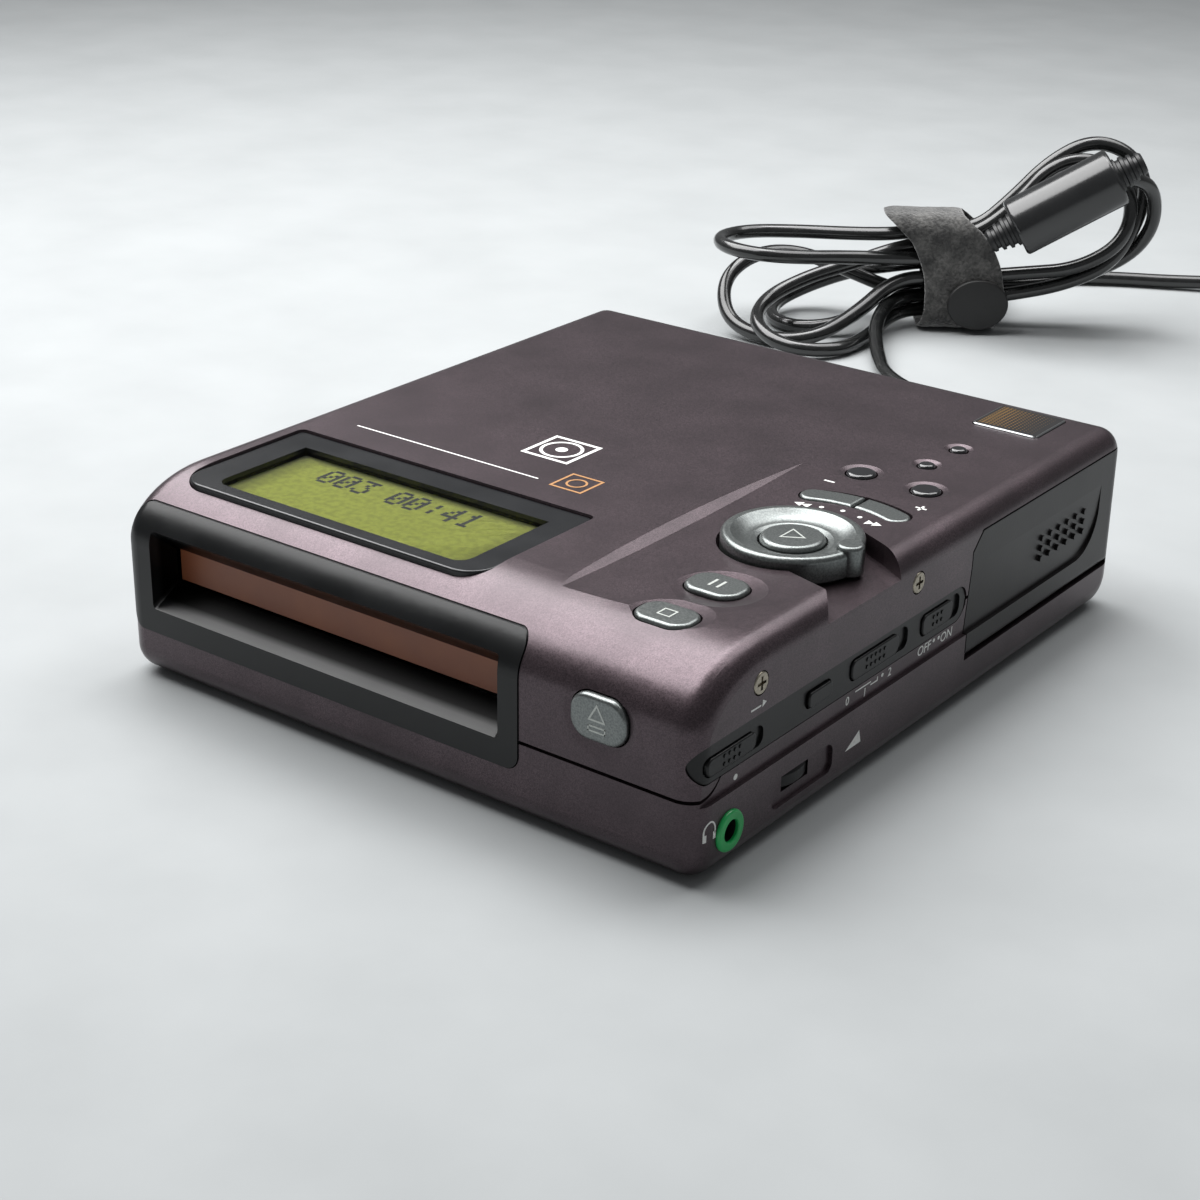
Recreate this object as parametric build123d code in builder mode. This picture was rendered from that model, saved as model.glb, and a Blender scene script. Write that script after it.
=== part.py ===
"""Portable disc player with a front loading slot, a thumb ring and a side battery door.

Millimetres. The origin is the middle of the base, +X is the player's right side,
+Y its rear and +Z up. The cartridge goes in through the slot in the -Y face.
"""
from build123d import *
import math
import os

# ---------------------------------------------------------------- case
width = 118.0
depth = 133.5
height = 34.5
wall = 1.8
foot_lift = 0.5
shoulder_run = 17.0
shoulder_drop = 10.0
front_toe = 4.8
rear_toe = 6.0
rear_brow = 4.8
side_round = 4.0
seam_front = 13.9
seam_side = 19.7
seam_gap = 0.6
tongue_rise = 1.4
tongue_step = 0.9
tongue_play = 0.15
seam_bend_start = 2.5
seam_bend_end = 11.5

left = -width / 2
right = width / 2
front = -depth / 2
rear = depth / 2
roof = height - wall
floor_top = foot_lift + wall

# ---------------------------------------------------------------- fits
fit_gap = 0.15
key_gap = 0.25
run_gap = 0.05
flange_step = 1.1
flange_skin = 0.1

# ---------------------------------------------------------------- slot
bezel_left = 2.0
bezel_right = width - 32.4
bezel_low = 9.2
bezel_high = 31.0
bezel_corner = 2.5
bezel_proud = 0.2
bezel_flange = 1.5
bezel_flange_reach = 6.7
mouth_left = 7.0
mouth_right = bezel_right - 3.8
mouth_low = 13.6
mouth_high = 28.0
throat_left = 7.6
throat_right = bezel_right - 4.8
throat_low = 17.0
throat_high = 23.0
throat_depth = 5.2
ledge_thickness = 0.8
block_left = 4.5
block_right = bezel_right - 1.6
block_low = 12.0
block_high = 29.6
lug_depth = 2.9
lug_width = 1.6
flap_thickness = 1.1
flap_setback = 1.0
flap_pin_radius = 0.6
flap_knuckle = 1.15
flap_axis_height = 24.0
flap_side_gap = 0.5

# ---------------------------------------------------------------- display
display_left = 5.6
display_right = width - 47.4
display_near = 8.2
display_far = 38.0
display_corner = 5.0
display_corner_rear = 1.2
display_sunk = 0.4
display_flange = 1.2
window_left = 11.8
window_right = display_right - 5.0
window_near = 11.0
window_far = 32.4
window_corner = 2.4
glass_ledge = 0.9
glass_top = 33.3
glass_thickness = 0.9
lcd_thickness = 1.7
board_thickness = 1.2
display_board_drop = 0.5
display_post = 0.9
display_post_out = 1.9
display_post_in = 3.0
display_post_long = 2.2
display_board_side = 4.0
display_board_near = 1.5
display_board_far = 3.0
main_board_lift = 4.2

# ---------------------------------------------------------------- control side
valley_edge = width - 37.0
valley_foot = width - 34.8
valley_far = width - 2.5
valley_depth = 0.8
valley_middle = 44.0
valley_reach = 36.0
pad_left = width - 35.5
pad_right = width - 2.0
pad_near = 6.0
pad_far = depth - 23.0
pad_under = 31.2
control_board_middle = 59.0
control_board_length = 102.0
board_top = 27.6
dome_height = 0.4
press_travel = 0.7
press_slack = 0.1
flange_height = 0.8
flange_spare = 0.2
flange_width = 0.8
stem_radius = 1.3
dish_depth = 0.7
key_crown = 0.7

ring_x = right - 17.8
ring_y = front + 50.5
ring_radius = 11.5
ring_top = 35.8
ring_floor = 31.0
ring_floor_thickness = 1.8
ring_lift = 0.3
ring_bore = 5.65
ring_pocket = 6.8
ring_sleeve = 7.8
ring_sleeve_gap = 0.1
ring_clip = 8.8
ring_well = 12.1
nub_reach = 10.6
nub_radius = 2.2
nub_top = 36.5
play_radius = 5.3
play_top = 35.2
play_flange = 6.4

band_middle = 20.2
band_width = 4.7
band_half_angle = 23.0
band_split = 0.25
band_top = 34.5

# name: from the right side, from the front, length along X, length along Y, corner, top
top_keys = {
    "pause_button": (17.0, 28.5, 10.0, 7.5, 3.2, 34.5),
    "stop_button": (16.5, 15.0, 10.0, 7.0, 3.0, 34.6),
}
# name: from the right side, from the front, radius, dish radius, top
round_keys = {
    "round_button_left": (24.7, 82.5, 2.6, 3.8, 34.7),
    "round_button_right": (12.1, 82.4, 2.6, 3.8, 34.7),
    "small_button_front": (18.0, 92.9, 1.55, 2.6, 34.7),
    "small_button_rear": (17.5, 103.1, 1.55, 2.6, 34.7),
}
eject_from_side = 17.3
eject_height = 22.9
eject_length = 10.2
eject_width = 7.4
eject_corner = 3.2
eject_proud = 0.7
eject_dish = 6.6
eject_setback = 3.1

badge_from_side = 15.9
badge_from_front = depth - 11.2
badge_width = 13.0
badge_depth = 12.0
badge_thickness = 0.8
badge_proud = 0.3

# ---------------------------------------------------------------- right side
scoop_low = 13.2
scoop_high = 25.5
scoop_depth = 0.7
scoop_far = depth - 8.5
scoop_corner = 8.0
strip_near = 0.5
strip_far = 77.0
strip_low = 16.6
strip_high = 22.8
strip_recess = 0.5
strip_thickness = 2.3
knob_sink = 0.5
knob_proud = 0.4
knob_corner = 1.2
knob_neck = 1.4
knob_flange = 0.6
# name: from the front, length, low, high, travel
side_knobs = {
    "hold_switch": (2.7, 12.4, 17.7, 20.6, 2.0),
    "bass_switch": (41.3, 14.0, 18.2, 21.6, 3.0),
    "resume_switch": (62.7, 9.6, 18.0, 21.6, 2.6),
}
mode_from_front = 32.2
mode_length = 6.6
mode_height = 2.6
mode_middle = 19.75
mode_proud = 0.1
side_screw_spots = ((15.4, 28.1), (60.0, 28.6))
side_screw_head = 1.8
side_screw_shank = 0.8
side_screw_length = 4.6
tab_half = 1.9

wheel_from_side = 8.7
wheel_from_front = 26.8
wheel_radius = 8.6
wheel_low = 7.1
wheel_high = 9.5
wheel_post = 1.5
wheel_gap = 0.3
wheel_recess_near = 19.7
wheel_recess_far = 36.6
wheel_recess_low = 5.0
wheel_recess_high = 10.0
wheel_recess_depth = 0.6

jack_from_front = 8.5
jack_height = 7.05
jack_bore = 1.8
jack_length = 14.0
jack_collar_radius = 3.3
jack_collar_proud = 0.6
jack_body = 8.2

dc_from_side = 56.0
dc_height = 8.2
dc_bore = 2.75
dc_pin = 0.7
dc_body_width = 9.0
dc_body_height = 9.0
dc_length = 10.0

# ---------------------------------------------------------------- battery
door_near = 77.9
door_far = depth - 2.7
door_low = 8.7
door_high = 30.8
door_chamfer = 3.0
grip_from_rear = 19.8
grip_height = 20.4
door_gap = 0.3
hinge_radius = 1.6
hinge_pin = 0.6
hinge_far = door_far - 1.9
hinge_relief = 0.3
tray_inner_x = 31.5
tray_outer_x = 4.4
tray_near = door_near + 1.0
tray_far = door_far - 0.8
tray_low = 9.0
tray_high = 25.8
tray_wall = 0.9
battery_play = 0.3
contact_length = 1.6

# ---------------------------------------------------------------- disc drive
bay_left = 7.5
bay_right = bezel_right - 4.7
bay_far = 76.0
bay_near = 14.0
bay_low = 16.9
bay_high = 22.8
sheet = 0.5
lip = 2.5
load_travel = 1.8
hub_x = left + (bay_left + bay_right) / 2
hub_y = front + 41.5
plate_left = 11.0
plate_right = bezel_right - 6.6
plate_near = 14.0
plate_far = 76.0
plate_low = 12.6
plate_thickness = 1.0
plate_skirt = 4.0
damper_inset = 4.0
damper_radius = 3.0
damper_hole = 2.0
post_radius = 1.3
motor_radius = 9.0
motor_low = 4.0
shaft_radius = 0.75
turntable_radius = 6.5
turntable_low = 14.5
turntable_high = 16.2
turntable_nose = 16.8
nose_radius = 2.1
lens_start = 15.0
sled_travel = 13.0
sled_half_x = 5.0
sled_half_y = 13.0
sled_low = 5.2
sled_high = 12.2
lens_radius = 3.0
lens_top = 14.4
rod_offset = 10.0
rod_height = 9.2
rod_radius = 1.0
bracket_x = plate_right - 29.0
gear_module = 0.5
gear_teeth = 16
pinion_teeth = 8
gear_low = 5.2
gear_high = 6.8
gear_x = plate_right - 19.0
tooth_thickness = 0.6
addendum = 0.4
dedendum = 0.6
axle_radius = 0.9
can_radius = 5.0
can_low = 7.4
can_shaft = 0.5

# ---------------------------------------------------------------- fasteners
# from the left side, from the front
case_screw_spots = ((4.4, 12.0), (width - 11.5, 38.6), (6.5, depth - 7.5), (width - 35.0, depth - 7.5))
boss_radius = 2.3
screw_head = 1.7
screw_shank = 0.8
screw_clear = 1.1
screw_top = 27.0
boss_top = 29.4
foot_radius = 4.0
foot_height = 1.0
foot_inset_x = 13.0
foot_inset_y = 13.0

# ---------------------------------------------------------------- power lead
cord_radius = 1.75
plug_radius = 4.4
plug_length = 17.0
relief_length = 11.0
lead_route = ((3.0, 94.95, 8.2), (2.0, 116.0, 5.5), (-14.0, 136.0, 2.4), (-36.0, 146.0, 2.0),
              (-47.3, 160.5, 2.0))
out_route = ((-44.3, 214.4, 6.0), (-53.0, 226.6, 4.0), (-52.0, 243.0, 2.0), (-37.0, 257.0, 2.0),
             (-12.8, 269.0, 2.0), (22.0, 286.0, 4.6))
hank_middle = (-49.8, 198.1)
hank_heading = 35.9
hank_half = 6.0
# along the hank and up, along the hank and across it, across it and up
hank_side = ((-60, 0.2), (-60, 24), (-14, 27), (8, 27), (32, 48), (49, 43), (46, 20), (8, 2),
             (-15, 2), (-22, 0.2))
hank_plan = ((-60, 11), (-60, -12), (-45, -32), (-14, -32), (-14, -6), (50, -6), (50, 10), (12, 10),
             (8, 6), (-14, 6), (-30, 12))
hank_end = ((-12, 0.2), (-12, 50), (6, 50), (12, 27), (32, 6), (32, 0.2))
strap_from = -13.0
strap_to = 7.0
strap_skin = 1.3
strap_middle = 14.9
strap_opening = 27.0
bead_radius = 7.2
bead_length = 27.0
bead_along = 25.0
bead_height = 35.5
bead_tilt = 30.0
connector_radius = 4.4
connector_length = 26.0


def case_form(inset):
    """The closed outer form of the case, drawn in all round by inset."""
    low = foot_lift + inset
    high = height - inset
    near = front + inset
    far = rear - inset
    toe = front_toe - inset
    heel = rear_toe - inset
    brow = rear_brow - inset
    spring = high - (shoulder_drop - inset)
    with BuildPart() as form:
        with BuildSketch(Plane.YZ):
            with BuildLine():
                Line((near + toe, low), (far - heel, low))
                CenterArc((far - heel, low + heel), heel, 270, 90)
                Line((far, low + heel), (far, high - brow))
                CenterArc((far - brow, high - brow), brow, 0, 90)
                Line((far - brow, high), (front + shoulder_run, high))
                EllipticalCenterArc((front + shoulder_run, spring), shoulder_run - inset,
                                    shoulder_drop - inset, start_angle=90, arc_size=90)
                Line((near, spring), (near, low + toe))
                CenterArc((near + toe, low + toe), toe, 180, 90)
            make_face()
        extrude(amount=width / 2 - inset, both=True)
        fillet(form.faces().filter_by(Axis.X).edges(), side_round - inset)
    return form.part


def under_seam(lift):
    """Everything below the parting line, raised by lift."""
    margin = 5.0
    start = (front + seam_bend_start, seam_front + lift)
    end = (front + seam_bend_end, seam_side + lift)
    with BuildPart() as block:
        with BuildSketch(Plane.YZ):
            with BuildLine():
                Line((front - margin, seam_front + lift), start)
                Spline(start, end, tangents=[(1, 0), (1, 0)])
                Polyline(end, (rear + margin, seam_side + lift), (rear + margin, -margin),
                         (front - margin, -margin), (front - margin, seam_front + lift))
            make_face()
        extrude(amount=width / 2 + margin, both=True)
    return block.part


def bezel_zone(grow, reach):
    """The block in which the slot bezel lies, from ahead of the front to reach behind it."""
    with BuildPart() as zone:
        with BuildSketch(Plane.XZ.offset(-front + 3)):
            with Locations((left + (bezel_left + bezel_right) / 2, (bezel_low + bezel_high) / 2)):
                RectangleRounded(bezel_right - bezel_left + 2 * grow,
                                 bezel_high - bezel_low + 2 * grow, bezel_corner + grow)
        extrude(amount=-3 - reach)
    return zone.part


def display_zone(grow, top=2.0):
    """The block in which the display frame lies, up to top above the case."""
    with BuildPart() as zone:
        with BuildSketch(Plane.XY.offset(height - 6)) as outline:
            with Locations((left + (display_left + display_right) / 2,
                            front + (display_near + display_far) / 2)):
                Rectangle(display_right - display_left + 2 * grow,
                          display_far - display_near + 2 * grow)
            fillet(outline.vertices().sort_by(Axis.Y)[:2], display_corner + grow)
            fillet(outline.vertices().sort_by(Axis.Y)[-2:], display_corner_rear + grow)
        extrude(amount=6 + top)
    return zone.part


def strip_zone(grow):
    """The long round-ended block in which the side strip lies."""
    with BuildPart() as zone:
        with BuildSketch(Plane.YZ.offset(right - 7)):
            with Locations((front + (strip_near + strip_far) / 2, (strip_low + strip_high) / 2)):
                SlotOverall(strip_far - strip_near + 2 * grow, strip_high - strip_low + 2 * grow)
        extrude(amount=9)
    return zone.part


def door_zone(grow):
    """The block of the battery door, with its upper front corner cut off."""
    near = front + door_near - grow
    far = front + door_far + grow
    low = door_low - grow
    high = door_high + grow
    with BuildPart() as zone:
        with BuildSketch(Plane.YZ.offset(right - 5)):
            Polygon((near, low), (far, low), (far, high), (near + door_chamfer, high),
                    (near, high - door_chamfer), align=None)
        extrude(amount=7)
    return zone.part


def surface_height(x, y):
    """The height of the control side's top face, with the valley taken off."""
    across = x - (left + valley_foot)
    rise = valley_depth * (across / (valley_far - valley_foot)) ** 2
    fade = valley_depth * ((y - (front + valley_middle)) / valley_reach) ** 2
    return height - max(valley_depth - rise - fade, 0)


def ball_dish(x, y, radius):
    """A ball that cuts a shallow round dish of this radius into the top face."""
    ball = (radius ** 2 + dish_depth ** 2) / (2 * dish_depth)
    with BuildPart() as dish:
        with Locations((x, y, surface_height(x, y) - dish_depth + ball)):
            Sphere(ball)
    return dish.part


def screw_spot(spot):
    """A case screw's place in the model's frame."""
    return (left + spot[0], front + spot[1])


def save(piece, name):
    """Name a finished piece and write its file."""
    piece.part.label = name
    export_step(piece.part, f"parts/{name}.step")


os.makedirs("parts", exist_ok=True)
outer_form = case_form(0)
inner_form = case_form(wall)
flange_outer = case_form(wall + flange_skin)
flange_inner = case_form(wall + flange_skin + flange_step)

# ================================================================ openings that both shells share
hinge_x = right - hinge_radius
hinge_z = door_low + hinge_radius

with BuildPart() as valley:
    sweep_radius = (valley_reach ** 2 + valley_depth ** 2) / (2 * valley_depth)
    arm = Plane(origin=(0, front + valley_middle, height - valley_depth + sweep_radius),
                x_dir=(1, 0, 0), z_dir=(0, 1, 0))
    with BuildSketch(arm.rotated((-4, 0, 0))):
        with BuildLine():
            foot = (left + valley_foot, sweep_radius)
            edge = (left + valley_edge, sweep_radius - valley_depth)
            far_end = (left + valley_far, sweep_radius - valley_depth)
            Line(edge, foot)
            Spline(foot, far_end, tangents=[(1, 0), (1, -2 * valley_depth / (valley_far - valley_foot))])
            Polyline(far_end, (left + valley_far + 2, sweep_radius - valley_depth - 0.1),
                     (left + valley_far + 2, sweep_radius - valley_depth - 2),
                     (left + valley_edge - 2, sweep_radius - valley_depth - 2), edge)
        make_face()
    revolve(axis=Axis(arm.origin, (1, 0, 0)), revolution_arc=8)

with BuildPart() as scoop:
    with BuildSketch(Plane.YZ.offset(right - 2)) as mark:
        near_end = front - 3
        with Locations(((near_end + front + scoop_far) / 2, (scoop_low + scoop_high) / 2)):
            Rectangle(front + scoop_far - near_end, scoop_high - scoop_low)
        fillet(mark.vertices().group_by(Axis.X)[-1].sort_by(Axis.Y)[0], scoop_corner)
    extrude(amount=4)
    with BuildSketch(Plane.XZ.offset(-front + 5)):
        Polygon((right - scoop_depth, scoop_low - 1), (right + 4, scoop_low - 1),
                (right + 4, scoop_high), (right, scoop_high), (right - scoop_depth, scoop_low),
                align=None)
    extrude(amount=-depth - 10, mode=Mode.INTERSECT)

door_window = door_zone(door_gap)
strip_window = strip_zone(fit_gap)
bezel_window = bezel_zone(fit_gap, 9)
display_window = display_zone(fit_gap)

# ================================================================ bottom case
with BuildPart() as bottom_case:
    add(outer_form)
    add(under_seam(0), mode=Mode.INTERSECT)
    tongue_form = case_form(tongue_step + tongue_play)
    tongue = tongue_form & under_seam(tongue_rise)
    add(tongue)
    add(inner_form, mode=Mode.SUBTRACT)
    for spot in case_screw_spots:
        with BuildSketch(Plane.XY.offset(floor_top - 0.5)):
            with Locations(screw_spot(spot)):
                Circle(boss_radius)
        extrude(amount=seam_side - floor_top + 0.5)
    with BuildSketch(Plane.XY.offset(floor_top - 0.5)):
        with Locations((left + (plate_left + plate_right) / 2, front + (plate_near + plate_far) / 2)):
            with GridLocations(plate_right - plate_left - 2 * damper_inset,
                               plate_far - plate_near - 2 * damper_inset, 2, 2):
                Circle(post_radius)
    extrude(amount=plate_low + plate_thickness + 0.7 - floor_top + 0.5)
    with BuildSketch(Plane.XY.offset(floor_top - 0.5)):
        with Locations((right - wheel_from_side, front + wheel_from_front)):
            Circle(wheel_post - run_gap)
        with Locations((left + 12, rear - 49.5), (left + 78, rear - 49.5), (left + 12, rear - 16.5),
                       (left + 46, rear - 16.5)):
            Circle(1.8)
        with Locations((left + 20, rear - 33.5), (left + 62, rear - 33.5)):
            Rectangle(1.2, 36)
    extrude(amount=4.7)
    with BuildSketch(Plane.XY.offset(floor_top)):
        with Locations((right - wheel_from_side, front + wheel_from_front)):
            Circle(wheel_post - run_gap)
    extrude(amount=wheel_high + 1.0 - floor_top)
    with BuildSketch(Plane.XY.offset(floor_top - 0.5)):
        with Locations((right - wheel_from_side, front + wheel_from_front)):
            Circle(wheel_post + 1.2)
    extrude(amount=wheel_low - wheel_gap - floor_top + 0.5)
    with BuildSketch(Plane.XZ.offset(-front - door_near + 2.4)):
        with Locations((right - 1.9, hinge_z)):
            RectangleRounded(3.6, 5.0, 0.8)
    extrude(amount=-2.2)
    with BuildSketch(Plane.XZ.offset(-front - hinge_far - 0.4)):
        with Locations((right - 2.9, hinge_z)):
            Rectangle(2.6, 4.4)
    extrude(amount=-(depth - wall - hinge_far + 0.1))
    add(outer_form, mode=Mode.INTERSECT)
    add(door_window, mode=Mode.SUBTRACT)
    add(strip_window, mode=Mode.SUBTRACT)
    add(bezel_window, mode=Mode.SUBTRACT)
    add(scoop.part, mode=Mode.SUBTRACT)
    with BuildSketch(Plane.XZ.offset(-front - door_near + door_gap)):
        with Locations((hinge_x, hinge_z)):
            Circle(hinge_radius + hinge_relief)
    extrude(amount=-(hinge_far - door_near + 2 * door_gap), mode=Mode.SUBTRACT)
    with BuildSketch(Plane.XZ.offset(-front - door_near + 2.5)):
        with Locations((hinge_x, hinge_z)):
            Circle(hinge_pin)
    extrude(amount=-(hinge_far - door_near + 4.2), mode=Mode.SUBTRACT)
    with BuildSketch(Plane.YZ.offset(right - wheel_recess_depth)):
        with Locations((front + (wheel_recess_near + wheel_recess_far) / 2,
                        (wheel_recess_low + wheel_recess_high) / 2)):
            RectangleRounded(wheel_recess_far - wheel_recess_near,
                             wheel_recess_high - wheel_recess_low, 1.6)
    extrude(amount=2, mode=Mode.SUBTRACT)
    with BuildSketch(Plane.XY.offset(wheel_low - wheel_gap)):
        with Locations((right - wheel_from_side, front + wheel_from_front)):
            Circle(wheel_radius + wheel_gap)
            Circle(wheel_post + 1.2, mode=Mode.SUBTRACT)
    extrude(amount=wheel_high - wheel_low + 2 * wheel_gap, mode=Mode.SUBTRACT)
    with BuildSketch(Plane.YZ.offset(right - wall - 1)):
        with Locations((front + jack_from_front, jack_height)):
            Circle(jack_collar_radius)
    extrude(amount=wall + 3, mode=Mode.SUBTRACT)
    with BuildSketch(Plane.XZ.offset(-rear - 2)):
        with Locations((right - dc_from_side, dc_height)):
            Circle(dc_bore + 0.8)
    extrude(amount=wall + 4, mode=Mode.SUBTRACT)
    for spot in case_screw_spots:
        with Locations((*screw_spot(spot), foot_lift)):
            with Locations(Rotation(180, 0, 0)):
                CounterBoreHole(screw_clear, screw_head + fit_gap, 1.5, 30)
    with BuildSketch(Plane.XY.offset(foot_lift)):
        with GridLocations(width - 2 * foot_inset_x, depth - 2 * foot_inset_y, 2, 2):
            Circle(foot_radius)
    extrude(amount=foot_height - foot_lift, mode=Mode.SUBTRACT)
save(bottom_case, "bottom_case")

# ================================================================ top case
with BuildPart() as top_case:
    add(outer_form)
    add(under_seam(seam_gap), mode=Mode.SUBTRACT)
    rebate_form = case_form(tongue_step)
    add(rebate_form & under_seam(tongue_rise + tongue_play), mode=Mode.SUBTRACT)
    add(inner_form, mode=Mode.SUBTRACT)
    with BuildSketch(Plane.XY.offset(pad_under)):
        with Locations((left + (pad_left + pad_right) / 2, front + (pad_near + pad_far) / 2)):
            Rectangle(pad_right - pad_left, pad_far - pad_near)
    extrude(amount=roof + 0.3 - pad_under)
    with BuildSketch(Plane.XY.offset(ring_floor - ring_floor_thickness)):
        with Locations((ring_x, ring_y)):
            Circle(ring_well + 2)
        Polygon((ring_x, ring_y - 15), (right - 1, ring_y - 20), (right - 1, ring_y + 5.5),
                (ring_x + 13.2, ring_y + 7.2), (ring_x + 7, ring_y + 12), (ring_x, ring_y + 12),
                align=None)
    extrude(amount=roof - ring_floor + ring_floor_thickness)
    for spot in case_screw_spots:
        with BuildSketch(Plane.XY.offset(seam_side + seam_gap)):
            with Locations(screw_spot(spot)):
                Circle(boss_radius)
        extrude(amount=boss_top - seam_side - seam_gap)
    # the front left boss is tied to the side wall by a rib
    with BuildSketch(Plane.XY.offset(seam_side + seam_gap + tongue_rise + 1)):
        with Locations((left + 3.0, front + case_screw_spots[0][1])):
            Rectangle(3.6, 1.4)
    extrude(amount=boss_top - seam_side - seam_gap - tongue_rise - 1)
    with BuildSketch(Plane.XY.offset(board_top)):
        with Locations((left + 86.5, front + 40), (left + 86.5, front + 88), (left + 110, front + 90),
                       (left + 86.5, front + 106), (left + 110, front + 106), (left + 88, front + 10)):
            Circle(1.3)
    extrude(amount=roof - board_top)
    for spot in (case_screw_spots[2], case_screw_spots[3]):
        with BuildSketch(Plane.XY.offset(boss_top - 0.5)):
            with Locations(screw_spot(spot)):
                Circle(boss_radius)
        extrude(amount=roof - boss_top + 0.8)
    add(outer_form, mode=Mode.INTERSECT)
    add(door_window, mode=Mode.SUBTRACT)
    add(strip_window, mode=Mode.SUBTRACT)
    add(bezel_window, mode=Mode.SUBTRACT)
    add(display_window, mode=Mode.SUBTRACT)
    add(scoop.part, mode=Mode.SUBTRACT)
    add(valley.part, mode=Mode.SUBTRACT)
    # the well and the thumb notch of the ring
    with BuildSketch(Plane.XY.offset(ring_floor)) as well:
        with Locations((ring_x, ring_y)):
            Circle(ring_well)
        Polygon((ring_x + 6.0, ring_y + 10.5), (ring_x + 12.6, ring_y + 7.0),
                (right + 2, ring_y + 2.5), (right + 2, ring_y - 20), (right - 3.1, ring_y - 13.5),
                (ring_x + 6.0, ring_y - 10.5), align=None)
    extrude(amount=8, mode=Mode.SUBTRACT)
    with BuildSketch(Plane.XY.offset(ring_floor - ring_floor_thickness - 1)):
        with Locations((ring_x, ring_y)):
            Circle(ring_sleeve + ring_sleeve_gap)
    extrude(amount=8, mode=Mode.SUBTRACT)
    # dishes and holes of the keys
    for side, along, long, short, corner, crest in top_keys.values():
        x = right - side
        y = front + along
        add(ball_dish(x, y, long / 2 + 2.0), mode=Mode.SUBTRACT)
        with BuildSketch(Plane.XY.offset(pad_under - 1)):
            with Locations((x, y)):
                RectangleRounded(long + 2 * key_gap, short + 2 * key_gap, corner + key_gap)
        extrude(amount=8, mode=Mode.SUBTRACT)
    for side, along, radius, dish, crest in round_keys.values():
        x = right - side
        y = front + along
        add(ball_dish(x, y, dish), mode=Mode.SUBTRACT)
        with BuildSketch(Plane.XY.offset(pad_under - 1)):
            with Locations((x, y)):
                Circle(radius + key_gap)
        extrude(amount=8, mode=Mode.SUBTRACT)
    with BuildSketch(Plane.XY.offset(pad_under - 1)):
        with Locations((ring_x, ring_y)):
            SlotArc(CenterArc((0, 0), band_middle, 90 - band_half_angle, 2 * band_half_angle),
                    band_width + 2 * key_gap)
    extrude(amount=8, mode=Mode.SUBTRACT)
    # eject key in the front, with its dish
    with BuildSketch(Plane.XZ.offset(-front + 1)):
        with Locations((right - eject_from_side, eject_height)):
            RectangleRounded(eject_length + 2 * key_gap, eject_width + 2 * key_gap,
                             eject_corner + key_gap)
    extrude(amount=-6, mode=Mode.SUBTRACT)
    eject_ball = (eject_dish ** 2 + 0.6 ** 2) / 1.2
    with Locations((right - eject_from_side, front + 0.6 - eject_ball, eject_height)):
        Sphere(eject_ball, mode=Mode.SUBTRACT)
    # badge pocket
    with BuildSketch(Plane.XY.offset(height + badge_proud - badge_thickness)):
        with Locations((right - badge_from_side, front + badge_from_front)):
            RectangleRounded(badge_width + 2 * fit_gap, badge_depth + 2 * fit_gap, 1.0 + fit_gap)
    extrude(amount=3, mode=Mode.SUBTRACT)
    # countersunk side screws
    for along, up in side_screw_spots:
        with BuildSketch(Plane.YZ.offset(right - 6)):
            with Locations((front + along, up)):
                Circle(side_screw_shank + fit_gap)
        extrude(amount=8, mode=Mode.SUBTRACT)
        with BuildSketch(Plane.YZ.offset(right - 0.6)):
            with Locations((front + along, up)):
                Circle(side_screw_head + fit_gap)
        extrude(amount=3, mode=Mode.SUBTRACT)
    for spot in case_screw_spots:
        with BuildSketch(Plane.XY.offset(seam_side - 1)):
            with Locations(screw_spot(spot)):
                Circle(screw_shank)
        extrude(amount=screw_top + 0.4 - seam_side + 1, mode=Mode.SUBTRACT)
save(top_case, "top_case")

# ================================================================ slot bezel, ledge and flap
throat_front = front - 0.01
flap_y = front + throat_depth + flap_setback
with BuildPart() as funnel:
    with BuildSketch(Plane.XZ.offset(-throat_front + bezel_proud)):
        with Locations((left + (mouth_left + mouth_right) / 2, (mouth_low + mouth_high) / 2)):
            RectangleRounded(mouth_right - mouth_left, mouth_high - mouth_low, 0.8)
    with BuildSketch(Plane.XZ.offset(-front - throat_depth)):
        with Locations((left + (throat_left + throat_right) / 2, (throat_low + throat_high) / 2)):
            RectangleRounded(throat_right - throat_left, throat_high - throat_low, 0.4)
    loft()

ledge_slope = math.atan2(throat_low - mouth_low, throat_depth)
with BuildPart() as slot_ledge:
    with BuildSketch(Plane.YZ.offset(left + throat_left)):
        with BuildLine():
            tip = (front + 0.5, mouth_low + 0.5 * math.tan(ledge_slope))
            heel = (front + throat_depth, throat_low)
            Polyline(tip, heel, (heel[0], heel[1] - ledge_thickness),
                     (tip[0], tip[1] - ledge_thickness), tip)
        make_face()
    extrude(amount=throat_right - throat_left)
    add(funnel.part, mode=Mode.SUBTRACT)
save(slot_ledge, "slot_ledge")

with BuildPart() as throat_block:
    with BuildSketch(Plane.XZ.offset(-front - 0.8)):
        with Locations((left + (block_left + block_right) / 2, (block_low + block_high) / 2)):
            Rectangle(block_right - block_left, block_high - block_low)
    extrude(amount=-(throat_depth - 0.8))
    add(case_form(0.2), mode=Mode.INTERSECT)

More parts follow.
